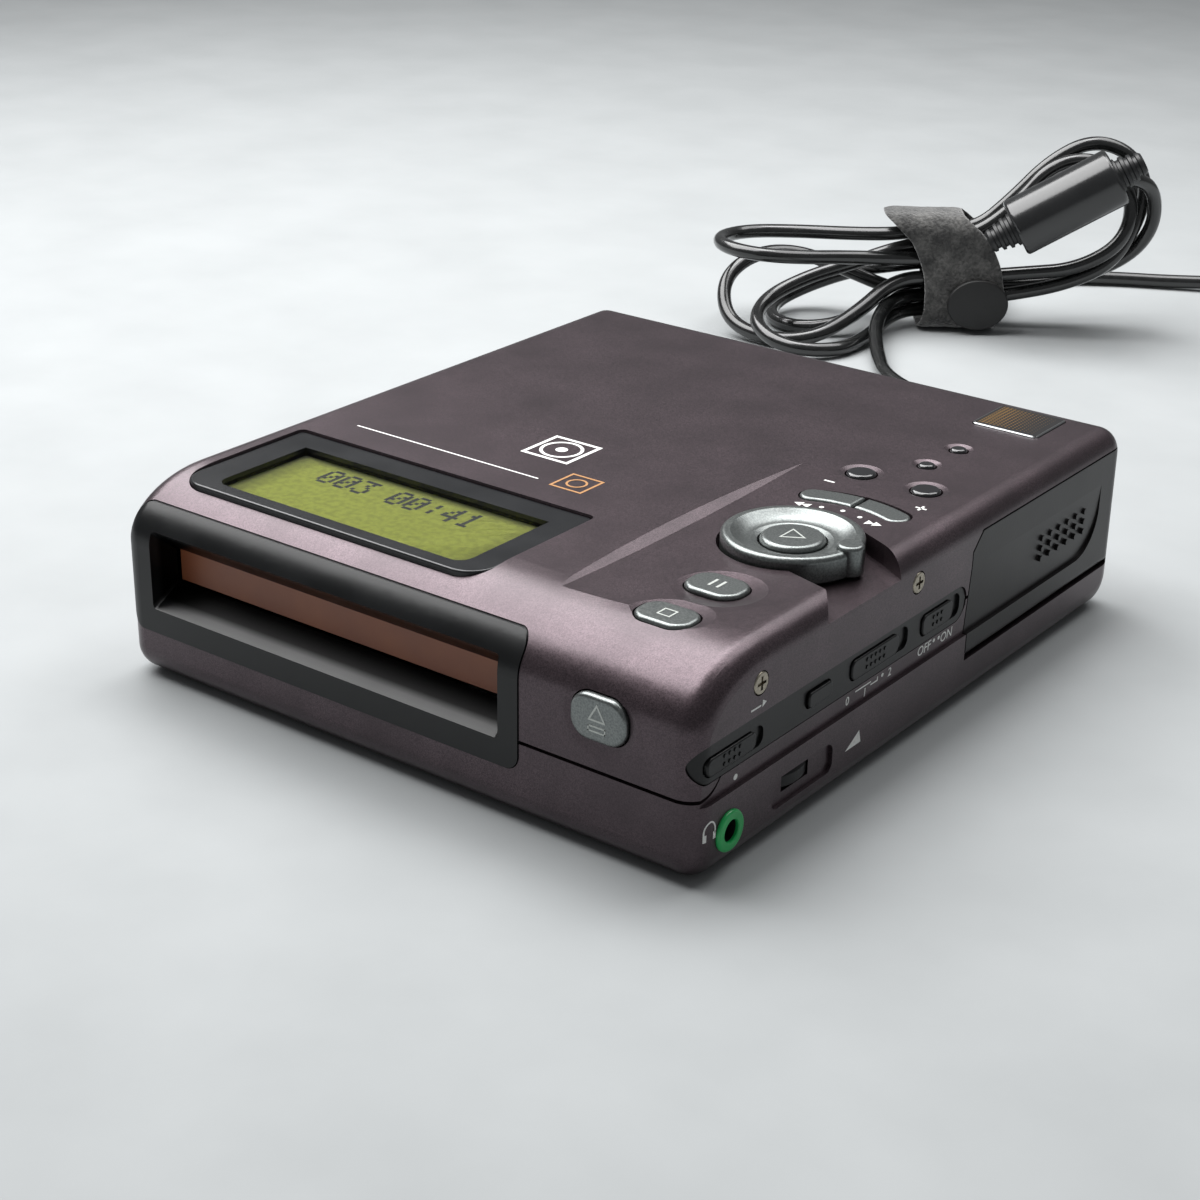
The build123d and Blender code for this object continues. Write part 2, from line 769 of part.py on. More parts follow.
with BuildPart() as slot_bezel:
    add(case_form(-bezel_proud) & bezel_zone(0, 9))
    add(inner_form, mode=Mode.SUBTRACT)
    flange_ring = flange_outer & bezel_zone(bezel_flange, bezel_flange_reach)
    add(flange_ring - flange_inner)
    add(throat_block.part)
    with BuildSketch(Plane.XZ.offset(-front - throat_depth + 0.5)):
        with Locations((left + throat_left - lug_width / 2 - 0.2, flap_axis_height),
                       (left + throat_right + lug_width / 2 + 0.2, flap_axis_height)):
            Rectangle(lug_width, 3.4)
    extrude(amount=-(lug_depth + 0.5))
    add(funnel.part, mode=Mode.SUBTRACT)
    add(slot_ledge.part, mode=Mode.SUBTRACT)
    with BuildSketch(Plane.YZ.offset(left + block_left - 1)):
        with Locations((flap_y, flap_axis_height)):
            Circle(flap_pin_radius)
    extrude(amount=block_right - block_left + 2, mode=Mode.SUBTRACT)
    with BuildSketch(Plane.YZ.offset(left + throat_left - 0.2)):
        with Locations((flap_y, flap_axis_height)):
            Circle(flap_knuckle + 0.3)
    extrude(amount=throat_right - throat_left + 0.4, mode=Mode.SUBTRACT)
save(slot_bezel, "slot_bezel")

flap_left = left + throat_left + flap_side_gap
flap_right = left + throat_right - flap_side_gap
with BuildPart() as slot_flap:
    with BuildSketch(Plane.YZ.offset(flap_left)):
        with Locations((flap_y, (throat_low + 0.3 + flap_axis_height) / 2)):
            Rectangle(flap_thickness, flap_axis_height - throat_low - 0.3)
        with Locations((flap_y, flap_axis_height)):
            Circle(flap_knuckle)
            Circle(flap_pin_radius + run_gap, mode=Mode.SUBTRACT)
    extrude(amount=flap_right - flap_left)
    # stiffening ribs across the rear face
    with BuildSketch(Plane.XZ.offset(-flap_y - flap_thickness / 2)):
        with Locations((left + (throat_left + throat_right) / 2, 20.4)):
            with GridLocations(12.0, 1, 5, 1):
                Rectangle(0.8, 4.6)
    extrude(amount=-0.5)
    with BuildSketch(Plane.YZ.offset(flap_left)):
        with Locations((flap_y, flap_axis_height)):
            Circle(flap_pin_radius + run_gap)
    extrude(amount=flap_right - flap_left, mode=Mode.SUBTRACT)
save(slot_flap, "slot_flap")

with BuildPart() as flap_pin:
    with BuildSketch(Plane.YZ.offset(left + throat_left - 0.2 - lug_width)):
        with Locations((flap_y, flap_axis_height)):
            Circle(flap_pin_radius)
    extrude(amount=throat_right - throat_left + 0.4 + 2 * lug_width)
save(flap_pin, "flap_pin")

# ================================================================ display
window_middle = (left + (window_left + window_right) / 2, front + (window_near + window_far) / 2)
window_wide = window_right - window_left
window_deep = window_far - window_near
lcd_top = glass_top - glass_thickness
board_level = lcd_top - lcd_thickness - display_board_drop
with BuildPart() as display_frame:
    # a flat plate, sunk in the top and standing proud of the falling shoulder
    add(display_zone(0, -display_sunk))
    fillet(display_frame.faces().sort_by(Axis.Z)[-1].edges(), 0.35)
    add(inner_form, mode=Mode.SUBTRACT)
    add((flange_outer & display_zone(display_flange)) - flange_inner)
    add((case_form(wall - 0.3) & display_zone(0, -display_sunk)) - flange_inner)
    with BuildSketch(Plane.XY.offset(board_level)):
        with Locations(window_middle):
            with GridLocations(window_wide + 2 * display_post_out,
                               window_deep - 2 * display_post_in, 2, 2):
                Circle(display_post)
    extrude(amount=display_post_long)
    with BuildSketch(Plane.XY.offset(height - 8)) as opening:
        with Locations(window_middle):
            Rectangle(window_wide, window_deep)
        fillet(opening.vertices().sort_by(Axis.Y)[:2], window_corner)
    extrude(amount=12, mode=Mode.SUBTRACT)
    with BuildSketch(Plane.XY.offset(height - 8)):
        with Locations(window_middle):
            RectangleRounded(window_wide + 2 * glass_ledge, window_deep + 2 * glass_ledge, 0.8)
    extrude(amount=glass_top - height + 8, mode=Mode.SUBTRACT)
save(display_frame, "display_frame")

with BuildPart() as display_glass:
    with BuildSketch(Plane.XY.offset(glass_top - glass_thickness)):
        with Locations(window_middle):
            RectangleRounded(window_wide + 2 * glass_ledge, window_deep + 2 * glass_ledge, 0.8)
    extrude(amount=glass_thickness)
save(display_glass, "display_glass")

with BuildPart() as lcd_panel:
    with BuildSketch(Plane.XY.offset(lcd_top - lcd_thickness)):
        with Locations(window_middle):
            Rectangle(window_wide + glass_ledge, window_deep + glass_ledge)
    extrude(amount=lcd_thickness)
    chamfer(lcd_panel.edges().filter_by(Axis.Z), 0.5)
save(lcd_panel, "lcd_panel")

board_shift = (display_board_far - display_board_near) / 2
with BuildPart() as display_board:
    with BuildSketch(Plane.XY.offset(board_level - board_thickness)):
        with Locations((window_middle[0], window_middle[1] + board_shift)):
            Rectangle(window_wide + 2 * display_board_side,
                      window_deep + display_board_near + display_board_far)
    extrude(amount=board_thickness)
    with BuildSketch(Plane.XY.offset(board_level)):
        with Locations((window_middle[0], window_middle[1] + window_deep / 2 - 1.0)):
            Rectangle(window_wide - 6, 1.6)
    extrude(amount=display_board_drop)
    with BuildSketch(Plane.XY.offset(board_level - board_thickness - 1.2)):
        with Locations((window_middle[0], window_middle[1] + 4)):
            with GridLocations(18, 1, 3, 1):
                Rectangle(10, 5)
    extrude(amount=1.2)
save(display_board, "display_board")

# ================================================================ badge and side strip
with BuildPart() as badge_plate:
    with BuildSketch(Plane.XY.offset(height + badge_proud - badge_thickness)):
        with Locations((right - badge_from_side, front + badge_from_front)):
            RectangleRounded(badge_width, badge_depth, 1.0)
    extrude(amount=badge_thickness)
    chamfer(badge_plate.edges().group_by(Axis.Z)[-1], 0.2)
save(badge_plate, "badge_plate")

strip_face = right - strip_recess
strip_back = strip_face - strip_thickness
with BuildPart() as side_strip:
    add(case_form(strip_recess) & strip_zone(0))
    add(case_form(strip_recess + strip_thickness), mode=Mode.SUBTRACT)
    add((flange_outer & strip_zone(flange_step)) - case_form(strip_recess + strip_thickness))
    for along, up in side_screw_spots:
        with BuildSketch(Plane.YZ.offset(strip_back)):
            with Locations((front + along, (strip_high + up + tab_half) / 2)):
                Rectangle(2 * tab_half, up + tab_half - strip_high + 1)
        extrude(amount=right - wall - flange_skin - strip_back)
        with BuildSketch(Plane.YZ.offset(strip_back - 1.8)):
            with Locations((front + along, up)):
                Circle(tab_half - 0.1)
        extrude(amount=right - wall - flange_skin - strip_back + 1.8)
    for near, long, low, high, travel in side_knobs.values():
        middle = front + near + (long + travel) / 2
        with BuildSketch(Plane.YZ.offset(strip_back - 1)):
            with Locations((middle, (low + high) / 2)):
                SlotOverall(knob_neck + 2 * key_gap + travel + 2.0, knob_neck + 2 * key_gap)
        extrude(amount=strip_thickness + 3, mode=Mode.SUBTRACT)
        with BuildSketch(Plane.YZ.offset(strip_face - knob_sink)):
            with Locations((middle, (low + high) / 2)):
                RectangleRounded(long + travel + 2 * key_gap, high - low + 2 * key_gap,
                                 knob_corner + key_gap)
        extrude(amount=3, mode=Mode.SUBTRACT)
    with BuildSketch(Plane.YZ.offset(strip_back - 1)):
        with Locations((front + mode_from_front, mode_middle)):
            RectangleRounded(mode_length + 2 * key_gap, mode_height + 2 * key_gap, 0.8 + key_gap)
    extrude(amount=strip_thickness + 3, mode=Mode.SUBTRACT)
    for along, up in side_screw_spots:
        with BuildSketch(Plane.YZ.offset(strip_back - 4)):
            with Locations((front + along, up)):
                Circle(side_screw_shank)
        extrude(amount=8, mode=Mode.SUBTRACT)
save(side_strip, "side_strip")

knob_base = strip_face - knob_sink + run_gap
knob_face = strip_face + knob_proud
for name, (near, long, low, high, travel) in side_knobs.items():
    start = front + near + long / 2
    centre = (start, (low + high) / 2)
    with BuildPart() as knob:
        with BuildSketch(Plane.YZ.offset(knob_base)):
            with Locations(centre):
                RectangleRounded(long, high - low, knob_corner)
        extrude(amount=knob_face - knob_base)
        fillet(knob.edges().group_by(Axis.X)[-1], 0.3)
        with BuildSketch(Plane.YZ.offset(knob_face)):
            with Locations(centre):
                with GridLocations(1.3, 1.3, max(2, int(long / 2 / 1.3)), 2):
                    Circle(0.35)
        extrude(amount=0.15)
        with BuildSketch(Plane.YZ.offset(strip_back - 0.2 - knob_flange)):
            with Locations(centre):
                SlotOverall(knob_neck + 2.0, knob_neck)
        extrude(amount=knob_base - strip_back + 0.2 + knob_flange)
        with BuildSketch(Plane.YZ.offset(strip_back - 0.2 - knob_flange)):
            with Locations(centre):
                Rectangle(6.0, 3.6)
        extrude(amount=knob_flange)
    save(knob, name)

with BuildPart() as mode_button:
    with BuildSketch(Plane.YZ.offset(strip_back - 0.2)):
        with Locations((front + mode_from_front, mode_middle)):
            RectangleRounded(mode_length, mode_height, 0.8)
    extrude(amount=right + mode_proud - strip_back + 0.2)
    fillet(mode_button.edges().group_by(Axis.X)[-1], 0.3)
    with BuildSketch(Plane.YZ.offset(strip_back - 0.2)):
        with Locations((front + mode_from_front, mode_middle)):
            RectangleRounded(mode_length + 1.2, mode_height + 1.2, 0.8)
    extrude(amount=-knob_flange)
save(mode_button, "mode_button")

# ================================================================ keys on the top
key_stem_foot = board_top + dome_height + press_travel + press_slack
flange_top = pad_under - flange_spare


def key_foot(x, y, wide, tall, corner):
    """The flange that holds a top key in the case, and the stem that presses its switch."""
    with BuildPart() as foot_part:
        with BuildSketch(Plane.XY.offset(flange_top - flange_height)):
            with Locations((x, y)):
                RectangleRounded(wide, tall, corner)
        extrude(amount=flange_height)
        with BuildSketch(Plane.XY.offset(key_stem_foot)):
            with Locations((x, y)):
                Circle(stem_radius)
        extrude(amount=flange_top - key_stem_foot)
    return foot_part.part


for name, (side, along, long, short, corner, crest) in top_keys.items():
    x = right - side
    y = front + along
    foot_part = key_foot(x, y, long + 2 * flange_width, short + 2 * flange_width, corner)
    with BuildPart() as key:
        with BuildSketch(Plane.XY.offset(flange_top - 0.1)):
            with Locations((x, y)):
                RectangleRounded(long, short, corner)
        extrude(amount=crest - flange_top + 0.1)
        fillet(key.edges().group_by(Axis.Z)[-1], key_crown)
        add(foot_part)
    save(key, name)

for name, (side, along, radius, dish, crest) in round_keys.items():
    x = right - side
    y = front + along
    flange_wide = 2 * radius + 2 * flange_width
    foot_part = key_foot(x, y, flange_wide, flange_wide, radius)
    with BuildPart() as key:
        with BuildSketch(Plane.XY.offset(flange_top - 0.1)):
            with Locations((x, y)):
                Circle(radius)
        extrude(amount=crest - flange_top + 0.1)
        fillet(key.edges().group_by(Axis.Z)[-1], key_crown)
        add(foot_part)
    save(key, name)

for name, sign in (("minus_key", -1), ("plus_key", 1)):
    with BuildPart() as key:
        for grow, low, high in ((0, flange_top - 0.1, band_top),
                                (flange_width, flange_top - flange_height, flange_top)):
            with BuildSketch(Plane.XY.offset(low)):
                with Locations((ring_x, ring_y)):
                    SlotArc(CenterArc((0, 0), band_middle, 90 - band_half_angle,
                                      2 * band_half_angle), band_width + 2 * grow)
                with Locations((ring_x + sign * (15 + band_split), ring_y + band_middle)):
                    Rectangle(30, 20, mode=Mode.INTERSECT)
            extrude(amount=high - low)
            if grow == 0:
                fillet(key.edges().group_by(Axis.Z)[-1], 0.6)
        lean = math.radians(90 - sign * band_half_angle / 2)
        with BuildSketch(Plane.XY.offset(key_stem_foot)):
            with Locations((ring_x + band_middle * math.cos(lean),
                            ring_y + band_middle * math.sin(lean))):
                Circle(stem_radius)
        extrude(amount=flange_top - key_stem_foot)
    save(key, name)

# ================================================================ ring and play key
ring_seat = ring_floor + ring_lift
clip_top = ring_floor - ring_floor_thickness - 0.2
ring_plane = Plane(origin=(ring_x, ring_y, 0), x_dir=(1, 0, 0), z_dir=(0, -1, 0))
ring_axis = Axis((ring_x, ring_y, 0), (0, 0, 1))
with BuildPart() as jog_ring:
    with BuildSketch(ring_plane):
        with BuildLine():
            shoulder = (ring_radius, ring_top - 0.9)
            lip_edge = (ring_radius - 0.9, ring_top)
            crest_in = (ring_radius - 1.6, ring_top)
            dish_in = (ring_bore + 0.9, ring_top - 1.3)
            Polyline((ring_radius - 0.4, ring_seat), (ring_radius, ring_seat + 0.4), shoulder)
            RadiusArc(shoulder, lip_edge, -0.9)
            Line(lip_edge, crest_in)
            Spline(crest_in, dish_in, tangents=[(-0.9, -0.5), (-1, -0.05)])
            Polyline(dish_in, (ring_bore, ring_top - 1.6), (ring_bore, 33.3), (ring_pocket, 33.3),
                     (ring_pocket, clip_top - 0.7), (ring_clip - 0.5, clip_top - 0.7),
                     (ring_clip, clip_top - 0.2), (ring_clip, clip_top), (ring_sleeve, clip_top),
                     (ring_sleeve, ring_seat), (ring_radius - 0.4, ring_seat))
        make_face()
    revolve(axis=ring_axis)
    with BuildSketch(Plane.XY.offset(ring_seat + 0.4)):
        with Locations((ring_x + nub_reach, ring_y)):
            Circle(nub_radius)
    extrude(amount=nub_top - ring_seat - 0.4)
    fillet(jog_ring.edges().group_by(Axis.Z)[-1], 0.6)
save(jog_ring, "jog_ring")

with BuildPart() as play_button:
    with BuildSketch(ring_plane):
        with BuildLine():
            rim = (play_radius, play_top - 0.9)
            brow = (play_radius - 0.9, play_top - 0.1)
            Polyline((0, key_stem_foot), (stem_radius, key_stem_foot), (stem_radius, 32.0),
                     (play_flange, 32.0), (play_flange, 32.9), (play_radius, 32.9), rim)
            RadiusArc(rim, brow, -0.9)
            Line(brow, (0, play_top))
            Line((0, play_top), (0, key_stem_foot))
        make_face()
    revolve(axis=ring_axis)
save(play_button, "play_button")

# ================================================================ eject key
eject_x = right - eject_from_side
eject_board_y = front + 8.0
with BuildPart() as eject_button:
    with BuildSketch(Plane.XZ.offset(-front - eject_setback)):
        with Locations((eject_x, eject_height)):
            RectangleRounded(eject_length, eject_width, eject_corner)
    extrude(amount=eject_setback + eject_proud)
    fillet(eject_button.edges().group_by(Axis.Y)[0], key_crown)
    with BuildSketch(Plane.XZ.offset(-front - eject_setback)):
        with Locations((eject_x, eject_height)):
            RectangleRounded(eject_length + 1.6, eject_width + 1.0, eject_corner)
    extrude(amount=-flange_height)
    with BuildSketch(Plane.XZ.offset(-front - eject_setback - flange_height)):
        with Locations((eject_x, eject_height)):
            Circle(stem_radius)
    extrude(amount=-(eject_board_y - dome_height - press_travel - press_slack
                     - front - eject_setback - flange_height))
save(eject_button, "eject_button")

# ================================================================ control board
with BuildPart() as control_board:
    with BuildSketch(Plane.XY.offset(board_top - board_thickness)):
        with Locations((left + (pad_left + pad_right) / 2 - 0.25, front + control_board_middle)):
            RectangleRounded(pad_right - pad_left - 5.9, control_board_length, 2)
        with Locations(screw_spot(case_screw_spots[1])):
            Circle(boss_radius + 0.5, mode=Mode.SUBTRACT)
    extrude(amount=board_thickness)
    lean = math.radians(band_half_angle / 2)
    spots = [(right - side, front + along) for side, along, *rest in top_keys.values()]
    spots += [(right - side, front + along) for side, along, *rest in round_keys.values()]
    spots += [(ring_x, ring_y)]
    spots += [(ring_x + sign * band_middle * math.sin(lean), ring_y + band_middle * math.cos(lean))
              for sign in (-1, 1)]
    with BuildSketch(Plane.XY.offset(board_top)):
        with Locations(*spots):
            Circle(1.9)
    extrude(amount=dome_height)
    # the small upright board behind the eject key
    with BuildSketch(Plane.XZ.offset(-eject_board_y)):
        with Locations((eject_x, eject_height + 1)):
            Rectangle(11, 9.4)
    extrude(amount=-1.0)
    with BuildSketch(Plane.XZ.offset(-eject_board_y)):
        with Locations((eject_x, eject_height)):
            Circle(1.9)
    extrude(amount=dome_height)
save(control_board, "control_board")

# ================================================================ volume wheel and sockets
wheel_x = right - wheel_from_side
wheel_y = front + wheel_from_front
with BuildPart() as volume_wheel:
    with BuildSketch(Plane.XY.offset(wheel_low)):
        with Locations((wheel_x, wheel_y)):
            Circle(wheel_radius)
            Circle(wheel_post, mode=Mode.SUBTRACT)
    extrude(amount=wheel_high - wheel_low)
    rim = volume_wheel.edges().filter_by(GeomType.CIRCLE).sort_by(SortBy.RADIUS)[-2:]
    chamfer(rim, 0.35)
save(volume_wheel, "volume_wheel")

with BuildPart() as headphone_jack:
    with BuildSketch(Plane.YZ.offset(right - jack_length)):
        with Locations((front + jack_from_front, jack_height)):
            Rectangle(jack_body, jack_body)
    extrude(amount=jack_length - wall - 0.3)
    add(inner_form, mode=Mode.INTERSECT)
    with BuildSketch(Plane.YZ.offset(right - wall - 0.3)):
        with Locations((front + jack_from_front, jack_height)):
            Circle(jack_bore + 0.5)
    extrude(amount=wall + 0.3)
    with BuildSketch(Plane.YZ.offset(right - jack_length + 1)):
        with Locations((front + jack_from_front, jack_height)):
            Circle(jack_bore)
    extrude(amount=jack_length, mode=Mode.SUBTRACT)
save(headphone_jack, "headphone_jack")

with BuildPart() as jack_collar:
    with BuildSketch(Plane.YZ.offset(right - wall - 0.3)):
        with Locations((front + jack_from_front, jack_height)):
            Circle(jack_collar_radius)
    extrude(amount=wall + 0.3 + jack_collar_proud)
    fillet(jack_collar.edges().group_by(Axis.X)[-1], 0.45)
    with BuildSketch(Plane.YZ.offset(right - wall - 0.3)):
        with Locations((front + jack_from_front, jack_height)):
            Circle(jack_bore + 0.5)
    extrude(amount=wall + 0.3, mode=Mode.SUBTRACT)
    with BuildSketch(Plane.YZ.offset(right)):
        with Locations((front + jack_from_front, jack_height)):
            Circle(jack_bore)
    extrude(amount=jack_collar_proud, mode=Mode.SUBTRACT)
    chamfer(jack_collar.edges().group_by(Axis.X)[-1], 0.15)
save(jack_collar, "jack_collar")

dc_x = right - dc_from_side
with BuildPart() as dc_jack:
    with BuildSketch(Plane.XZ.offset(-rear + wall)):
        with Locations((dc_x, dc_height)):
            Rectangle(dc_body_width, dc_body_height)
    extrude(amount=dc_length - wall)
    add(inner_form, mode=Mode.INTERSECT)
    with BuildSketch(Plane.XZ.offset(-rear)):
        with Locations((dc_x, dc_height)):
            Circle(dc_bore + 0.8)
    extrude(amount=wall)
    with BuildSketch(Plane.XZ.offset(-rear)):
        with Locations((dc_x, dc_height)):
            Circle(dc_bore)
    extrude(amount=dc_length - 1, mode=Mode.SUBTRACT)
    with BuildSketch(Plane.XZ.offset(-rear + 1.2)):
        with Locations((dc_x, dc_height)):
            Circle(dc_pin)
    extrude(amount=dc_length - 1.2)
save(dc_jack, "dc_jack")

# ================================================================ battery door, tray and pack
with BuildPart() as battery_door:
    add(outer_form & door_zone(0))
    add(inner_form, mode=Mode.SUBTRACT)
    with BuildSketch(Plane.XZ.offset(-front - door_near - 0.3)):
        with Locations((hinge_x, hinge_z)):
            Circle(hinge_radius)
    extrude(amount=-(hinge_far - door_near - 0.3))
    # stiffening ribs inside
    with BuildSketch(Plane.YZ.offset(right - wall - 1.0)):
        with Locations((front + (door_near + door_far) / 2, door_high - 2.6)):
            Rectangle(door_far - door_near - 10.9, 0.9)
        with Locations((front + (door_near + door_far) / 2, door_high - 9.8)):
            with GridLocations((door_far - door_near) / 4 + 0.8, 1, 4, 1):
                Rectangle(0.8, 14.0)
    extrude(amount=1.2)
    add(outer_form, mode=Mode.INTERSECT)
    add(scoop.part, mode=Mode.SUBTRACT)
    # the hinged edge is round about the pin, so that it turns clear of the bottom case
    with BuildSketch(Plane.XZ.offset(-front - door_near + 1)):
        with Locations((hinge_x, hinge_z)):
            Rectangle(2 * hinge_radius, 2 * hinge_radius, align=(Align.MIN, Align.MAX))
            Circle(hinge_radius, mode=Mode.SUBTRACT)
            Circle(hinge_pin + run_gap)
    extrude(amount=-(door_far - door_near + 2), mode=Mode.SUBTRACT)
    # grip bumps near the rear end
    with BuildSketch(Plane.YZ.offset(right - scoop_depth)):
        with Locations((front + door_far - grip_from_rear, grip_height)):
            with GridLocations(3.2, 1.9, 6, 3):
                Circle(0.55)
    extrude(amount=scoop_depth + 0.25)
save(battery_door, "battery_door")

with BuildPart() as door_pin:
    with BuildSketch(Plane.XZ.offset(-front - door_near + 2.3)):
        with Locations((hinge_x, hinge_z)):
            Circle(hinge_pin)
    extrude(amount=-(hinge_far - door_near + 3.8))
save(door_pin, "door_pin")

tray_left = right - tray_inner_x
tray_right = right - tray_outer_x
tray_long = tray_far - tray_near
with BuildPart() as battery_tray:
    with BuildSketch(Plane.YZ.offset(tray_left)):
        with Locations((front + (tray_near + tray_far) / 2, (tray_low + tray_high) / 2)):
            Rectangle(tray_long, tray_high - tray_low)
    extrude(amount=tray_right - tray_left)
    with BuildSketch(Plane.YZ.offset(tray_left + tray_wall)):
        with Locations((front + (tray_near + tray_far) / 2, (tray_low + tray_high) / 2)):
            Rectangle(tray_long - 2 * tray_wall, tray_high - tray_low - 2 * tray_wall)
    extrude(amount=tray_right - tray_left, mode=Mode.SUBTRACT)
    # feet down to the case floor
    with BuildSketch(Plane.XY.offset(floor_top)):
        with Locations(((tray_left + tray_right) / 2, front + (tray_near + tray_far) / 2)):
            with GridLocations(tray_right - tray_left - 4, tray_long - 12, 2, 2):
                Rectangle(2.0, 2.0)
    extrude(amount=tray_low - floor_top)
save(battery_tray, "battery_tray")

pack_left = tray_left + tray_wall + contact_length
pack_low = tray_low + tray_wall + battery_play
pack_high = tray_high - tray_wall - battery_play
pack_long = tray_long - 2 * tray_wall - 2 * battery_play
with BuildPart() as battery_pack:
    with BuildSketch(Plane.YZ.offset(pack_left)):
        with Locations((front + (tray_near + tray_far) / 2, (pack_low + pack_high) / 2)):
            RectangleRounded(pack_long, pack_high - pack_low, 1.5)
    extrude(amount=tray_right - pack_left - 0.5)
    chamfer(battery_pack.edges().group_by(Axis.X)[-1], 0.6)
save(battery_pack, "battery_pack")

with BuildPart() as battery_contacts:
    with BuildSketch(Plane.YZ.offset(tray_left + tray_wall)):
        with Locations((front + (tray_near + tray_far) / 2, (pack_low + pack_high) / 2)):
            with GridLocations(7.0, 1, 3, 1):
                Rectangle(3.0, 8.0)
    extrude(amount=0.3)
    with BuildSketch(Plane.YZ.offset(tray_left + tray_wall)):
        with Locations((front + (tray_near + tray_far) / 2, (pack_low + pack_high) / 2)):
            with GridLocations(7.0, 1, 3, 1):
                Rectangle(2.0, 2.4)
    extrude(amount=contact_length)
save(battery_contacts, "battery_contacts")

# ================================================================ main board
main_board_edge = 4.0
main_board_rear = 12.7
main_board_deep = 41.0
main_board_clear = 2.5
main_board_wide = width - tray_inner_x - main_board_clear - main_board_edge
main_board_right = left + main_board_edge + main_board_wide
# from the case's left side or, below zero, from the board's right edge, then from the rear, sizes
main_board_chips = ((30.0, 33.5, 15.0, 15.0), (-29.0, 29.5, 12.0, 12.0), (-14.0, 41.5, 9.0, 6.0),
                    (15.0, 43.5, 8.0, 10.0))
main_board_level = floor_top + main_board_lift
with BuildPart() as main_board:
    with BuildSketch(Plane.XY.offset(main_board_level)):
        with Locations((left + main_board_edge + main_board_wide / 2,
                        rear - main_board_rear - main_board_deep / 2)):
            Rectangle(main_board_wide, main_board_deep)
    extrude(amount=board_thickness)
    with BuildSketch(Plane.XY.offset(main_board_level + board_thickness)):
        for across, back, wide, deep in main_board_chips:
            chip_start = left if across > 0 else main_board_right
            with Locations((chip_start + across, rear - back)):
                Rectangle(wide, deep)
    extrude(amount=1.6)
    with BuildSketch(Plane.XY.offset(main_board_level + board_thickness)):
        with Locations((main_board_right - 10, rear - 23.5)):
            with GridLocations(8, 8, 2, 2):
                Circle(3.0)
        with Locations((left + 12, rear - 25.5)):
            with GridLocations(7, 7, 2, 2):
                Circle(2.4)
    extrude(amount=6.0)
    with BuildSketch(Plane.XY.offset(main_board_level + board_thickness)):
        with Locations((main_board_right - 44, rear - 49.5)):
            Rectangle(22, 3.5)
    extrude(amount=3.0)
save(main_board, "main_board")

# ================================================================ disc drive
plate_middle = (left + (plate_left + plate_right) / 2, front + (plate_near + plate_far) / 2)
plate_wide = plate_right - plate_left
plate_deep = plate_far - plate_near
plate_top = plate_low + plate_thickness
lens_x = hub_x + lens_start
rod_spots = ((0, hub_y - rod_offset), (0, hub_y + rod_offset))
gear_radius = gear_module * gear_teeth / 2
pinion_radius = gear_module * pinion_teeth / 2
rack_line = hub_y - sled_half_y - 1.5
gear_centre = (left + gear_x, rack_line - gear_radius)
pinion_centre = (gear_centre[0] - gear_radius - pinion_radius, gear_centre[1])

with BuildPart() as chassis:
    with BuildSketch(Plane.XY.offset(plate_low)):
        with Locations(plate_middle):
            RectangleRounded(plate_wide, plate_deep, 3.0)
            with GridLocations(plate_wide - 2 * damper_inset, plate_deep - 2 * damper_inset, 2, 2):
                Circle(damper_hole, mode=Mode.SUBTRACT)
        with Locations((hub_x, hub_y)):
            Circle(4.6, mode=Mode.SUBTRACT)
        with Locations((lens_x + sled_travel / 2, hub_y)):
            SlotOverall(sled_travel + 2 * lens_radius + 3, 2 * lens_radius + 2, mode=Mode.SUBTRACT)
        with Locations((left + 27, front + 62)):
            RectangleRounded(16, 12, 3, mode=Mode.SUBTRACT)
        with Locations((left + 27, front + 26)):
            RectangleRounded(16, 10, 3, mode=Mode.SUBTRACT)
    extrude(amount=plate_thickness)
    with BuildSketch(Plane.XY.offset(plate_low - plate_skirt)):
        with Locations((plate_middle[0] - plate_wide / 2 + 0.5, plate_middle[1]),
                       (plate_middle[0] + plate_wide / 2 - 0.5, plate_middle[1])):
            Rectangle(1.0, plate_deep - 18)
    extrude(amount=plate_skirt)
    with BuildSketch(Plane.XY.offset(rod_height - 1.8)):
        with Locations(*[(left + bracket_x + 0.5, y) for _, y in rod_spots]):
            Rectangle(1.0, 4.0)
    extrude(amount=plate_low - rod_height + 1.8)
    with BuildSketch(Plane.YZ.offset(left + bracket_x - 1)):
        with Locations(*[(y, rod_height) for _, y in rod_spots]):
            Circle(rod_radius)
    extrude(amount=plate_right - bracket_x + 2, mode=Mode.SUBTRACT)
    with BuildSketch(Plane.XY.offset(gear_low - 0.6)):
        with Locations(gear_centre):
            Circle(axle_radius)
    extrude(amount=plate_low - gear_low + 0.6)
save(chassis, "chassis")

with BuildPart() as guide_rods:
    with BuildSketch(Plane.YZ.offset(left + bracket_x)):
        with Locations(*[(y, rod_height) for _, y in rod_spots]):
            Circle(rod_radius)
    extrude(amount=plate_right - bracket_x)
save(guide_rods, "guide_rods")

with BuildPart() as dampers:
    with Locations(plate_middle):
        with GridLocations(plate_wide - 2 * damper_inset, plate_deep - 2 * damper_inset, 2, 2) as grid:
            damper_spots = [(place.position.X, place.position.Y) for place in grid.locations]
    for level, tall, radius in ((plate_low - 1.2, 1.2, damper_radius),
                                (plate_low, plate_thickness, damper_hole),
                                (plate_top, 0.7, damper_radius)):
        with BuildSketch(Plane.XY.offset(level)):
            with Locations(*damper_spots):
                Circle(radius)
                Circle(post_radius, mode=Mode.SUBTRACT)
        extrude(amount=tall)
save(dampers, "dampers")

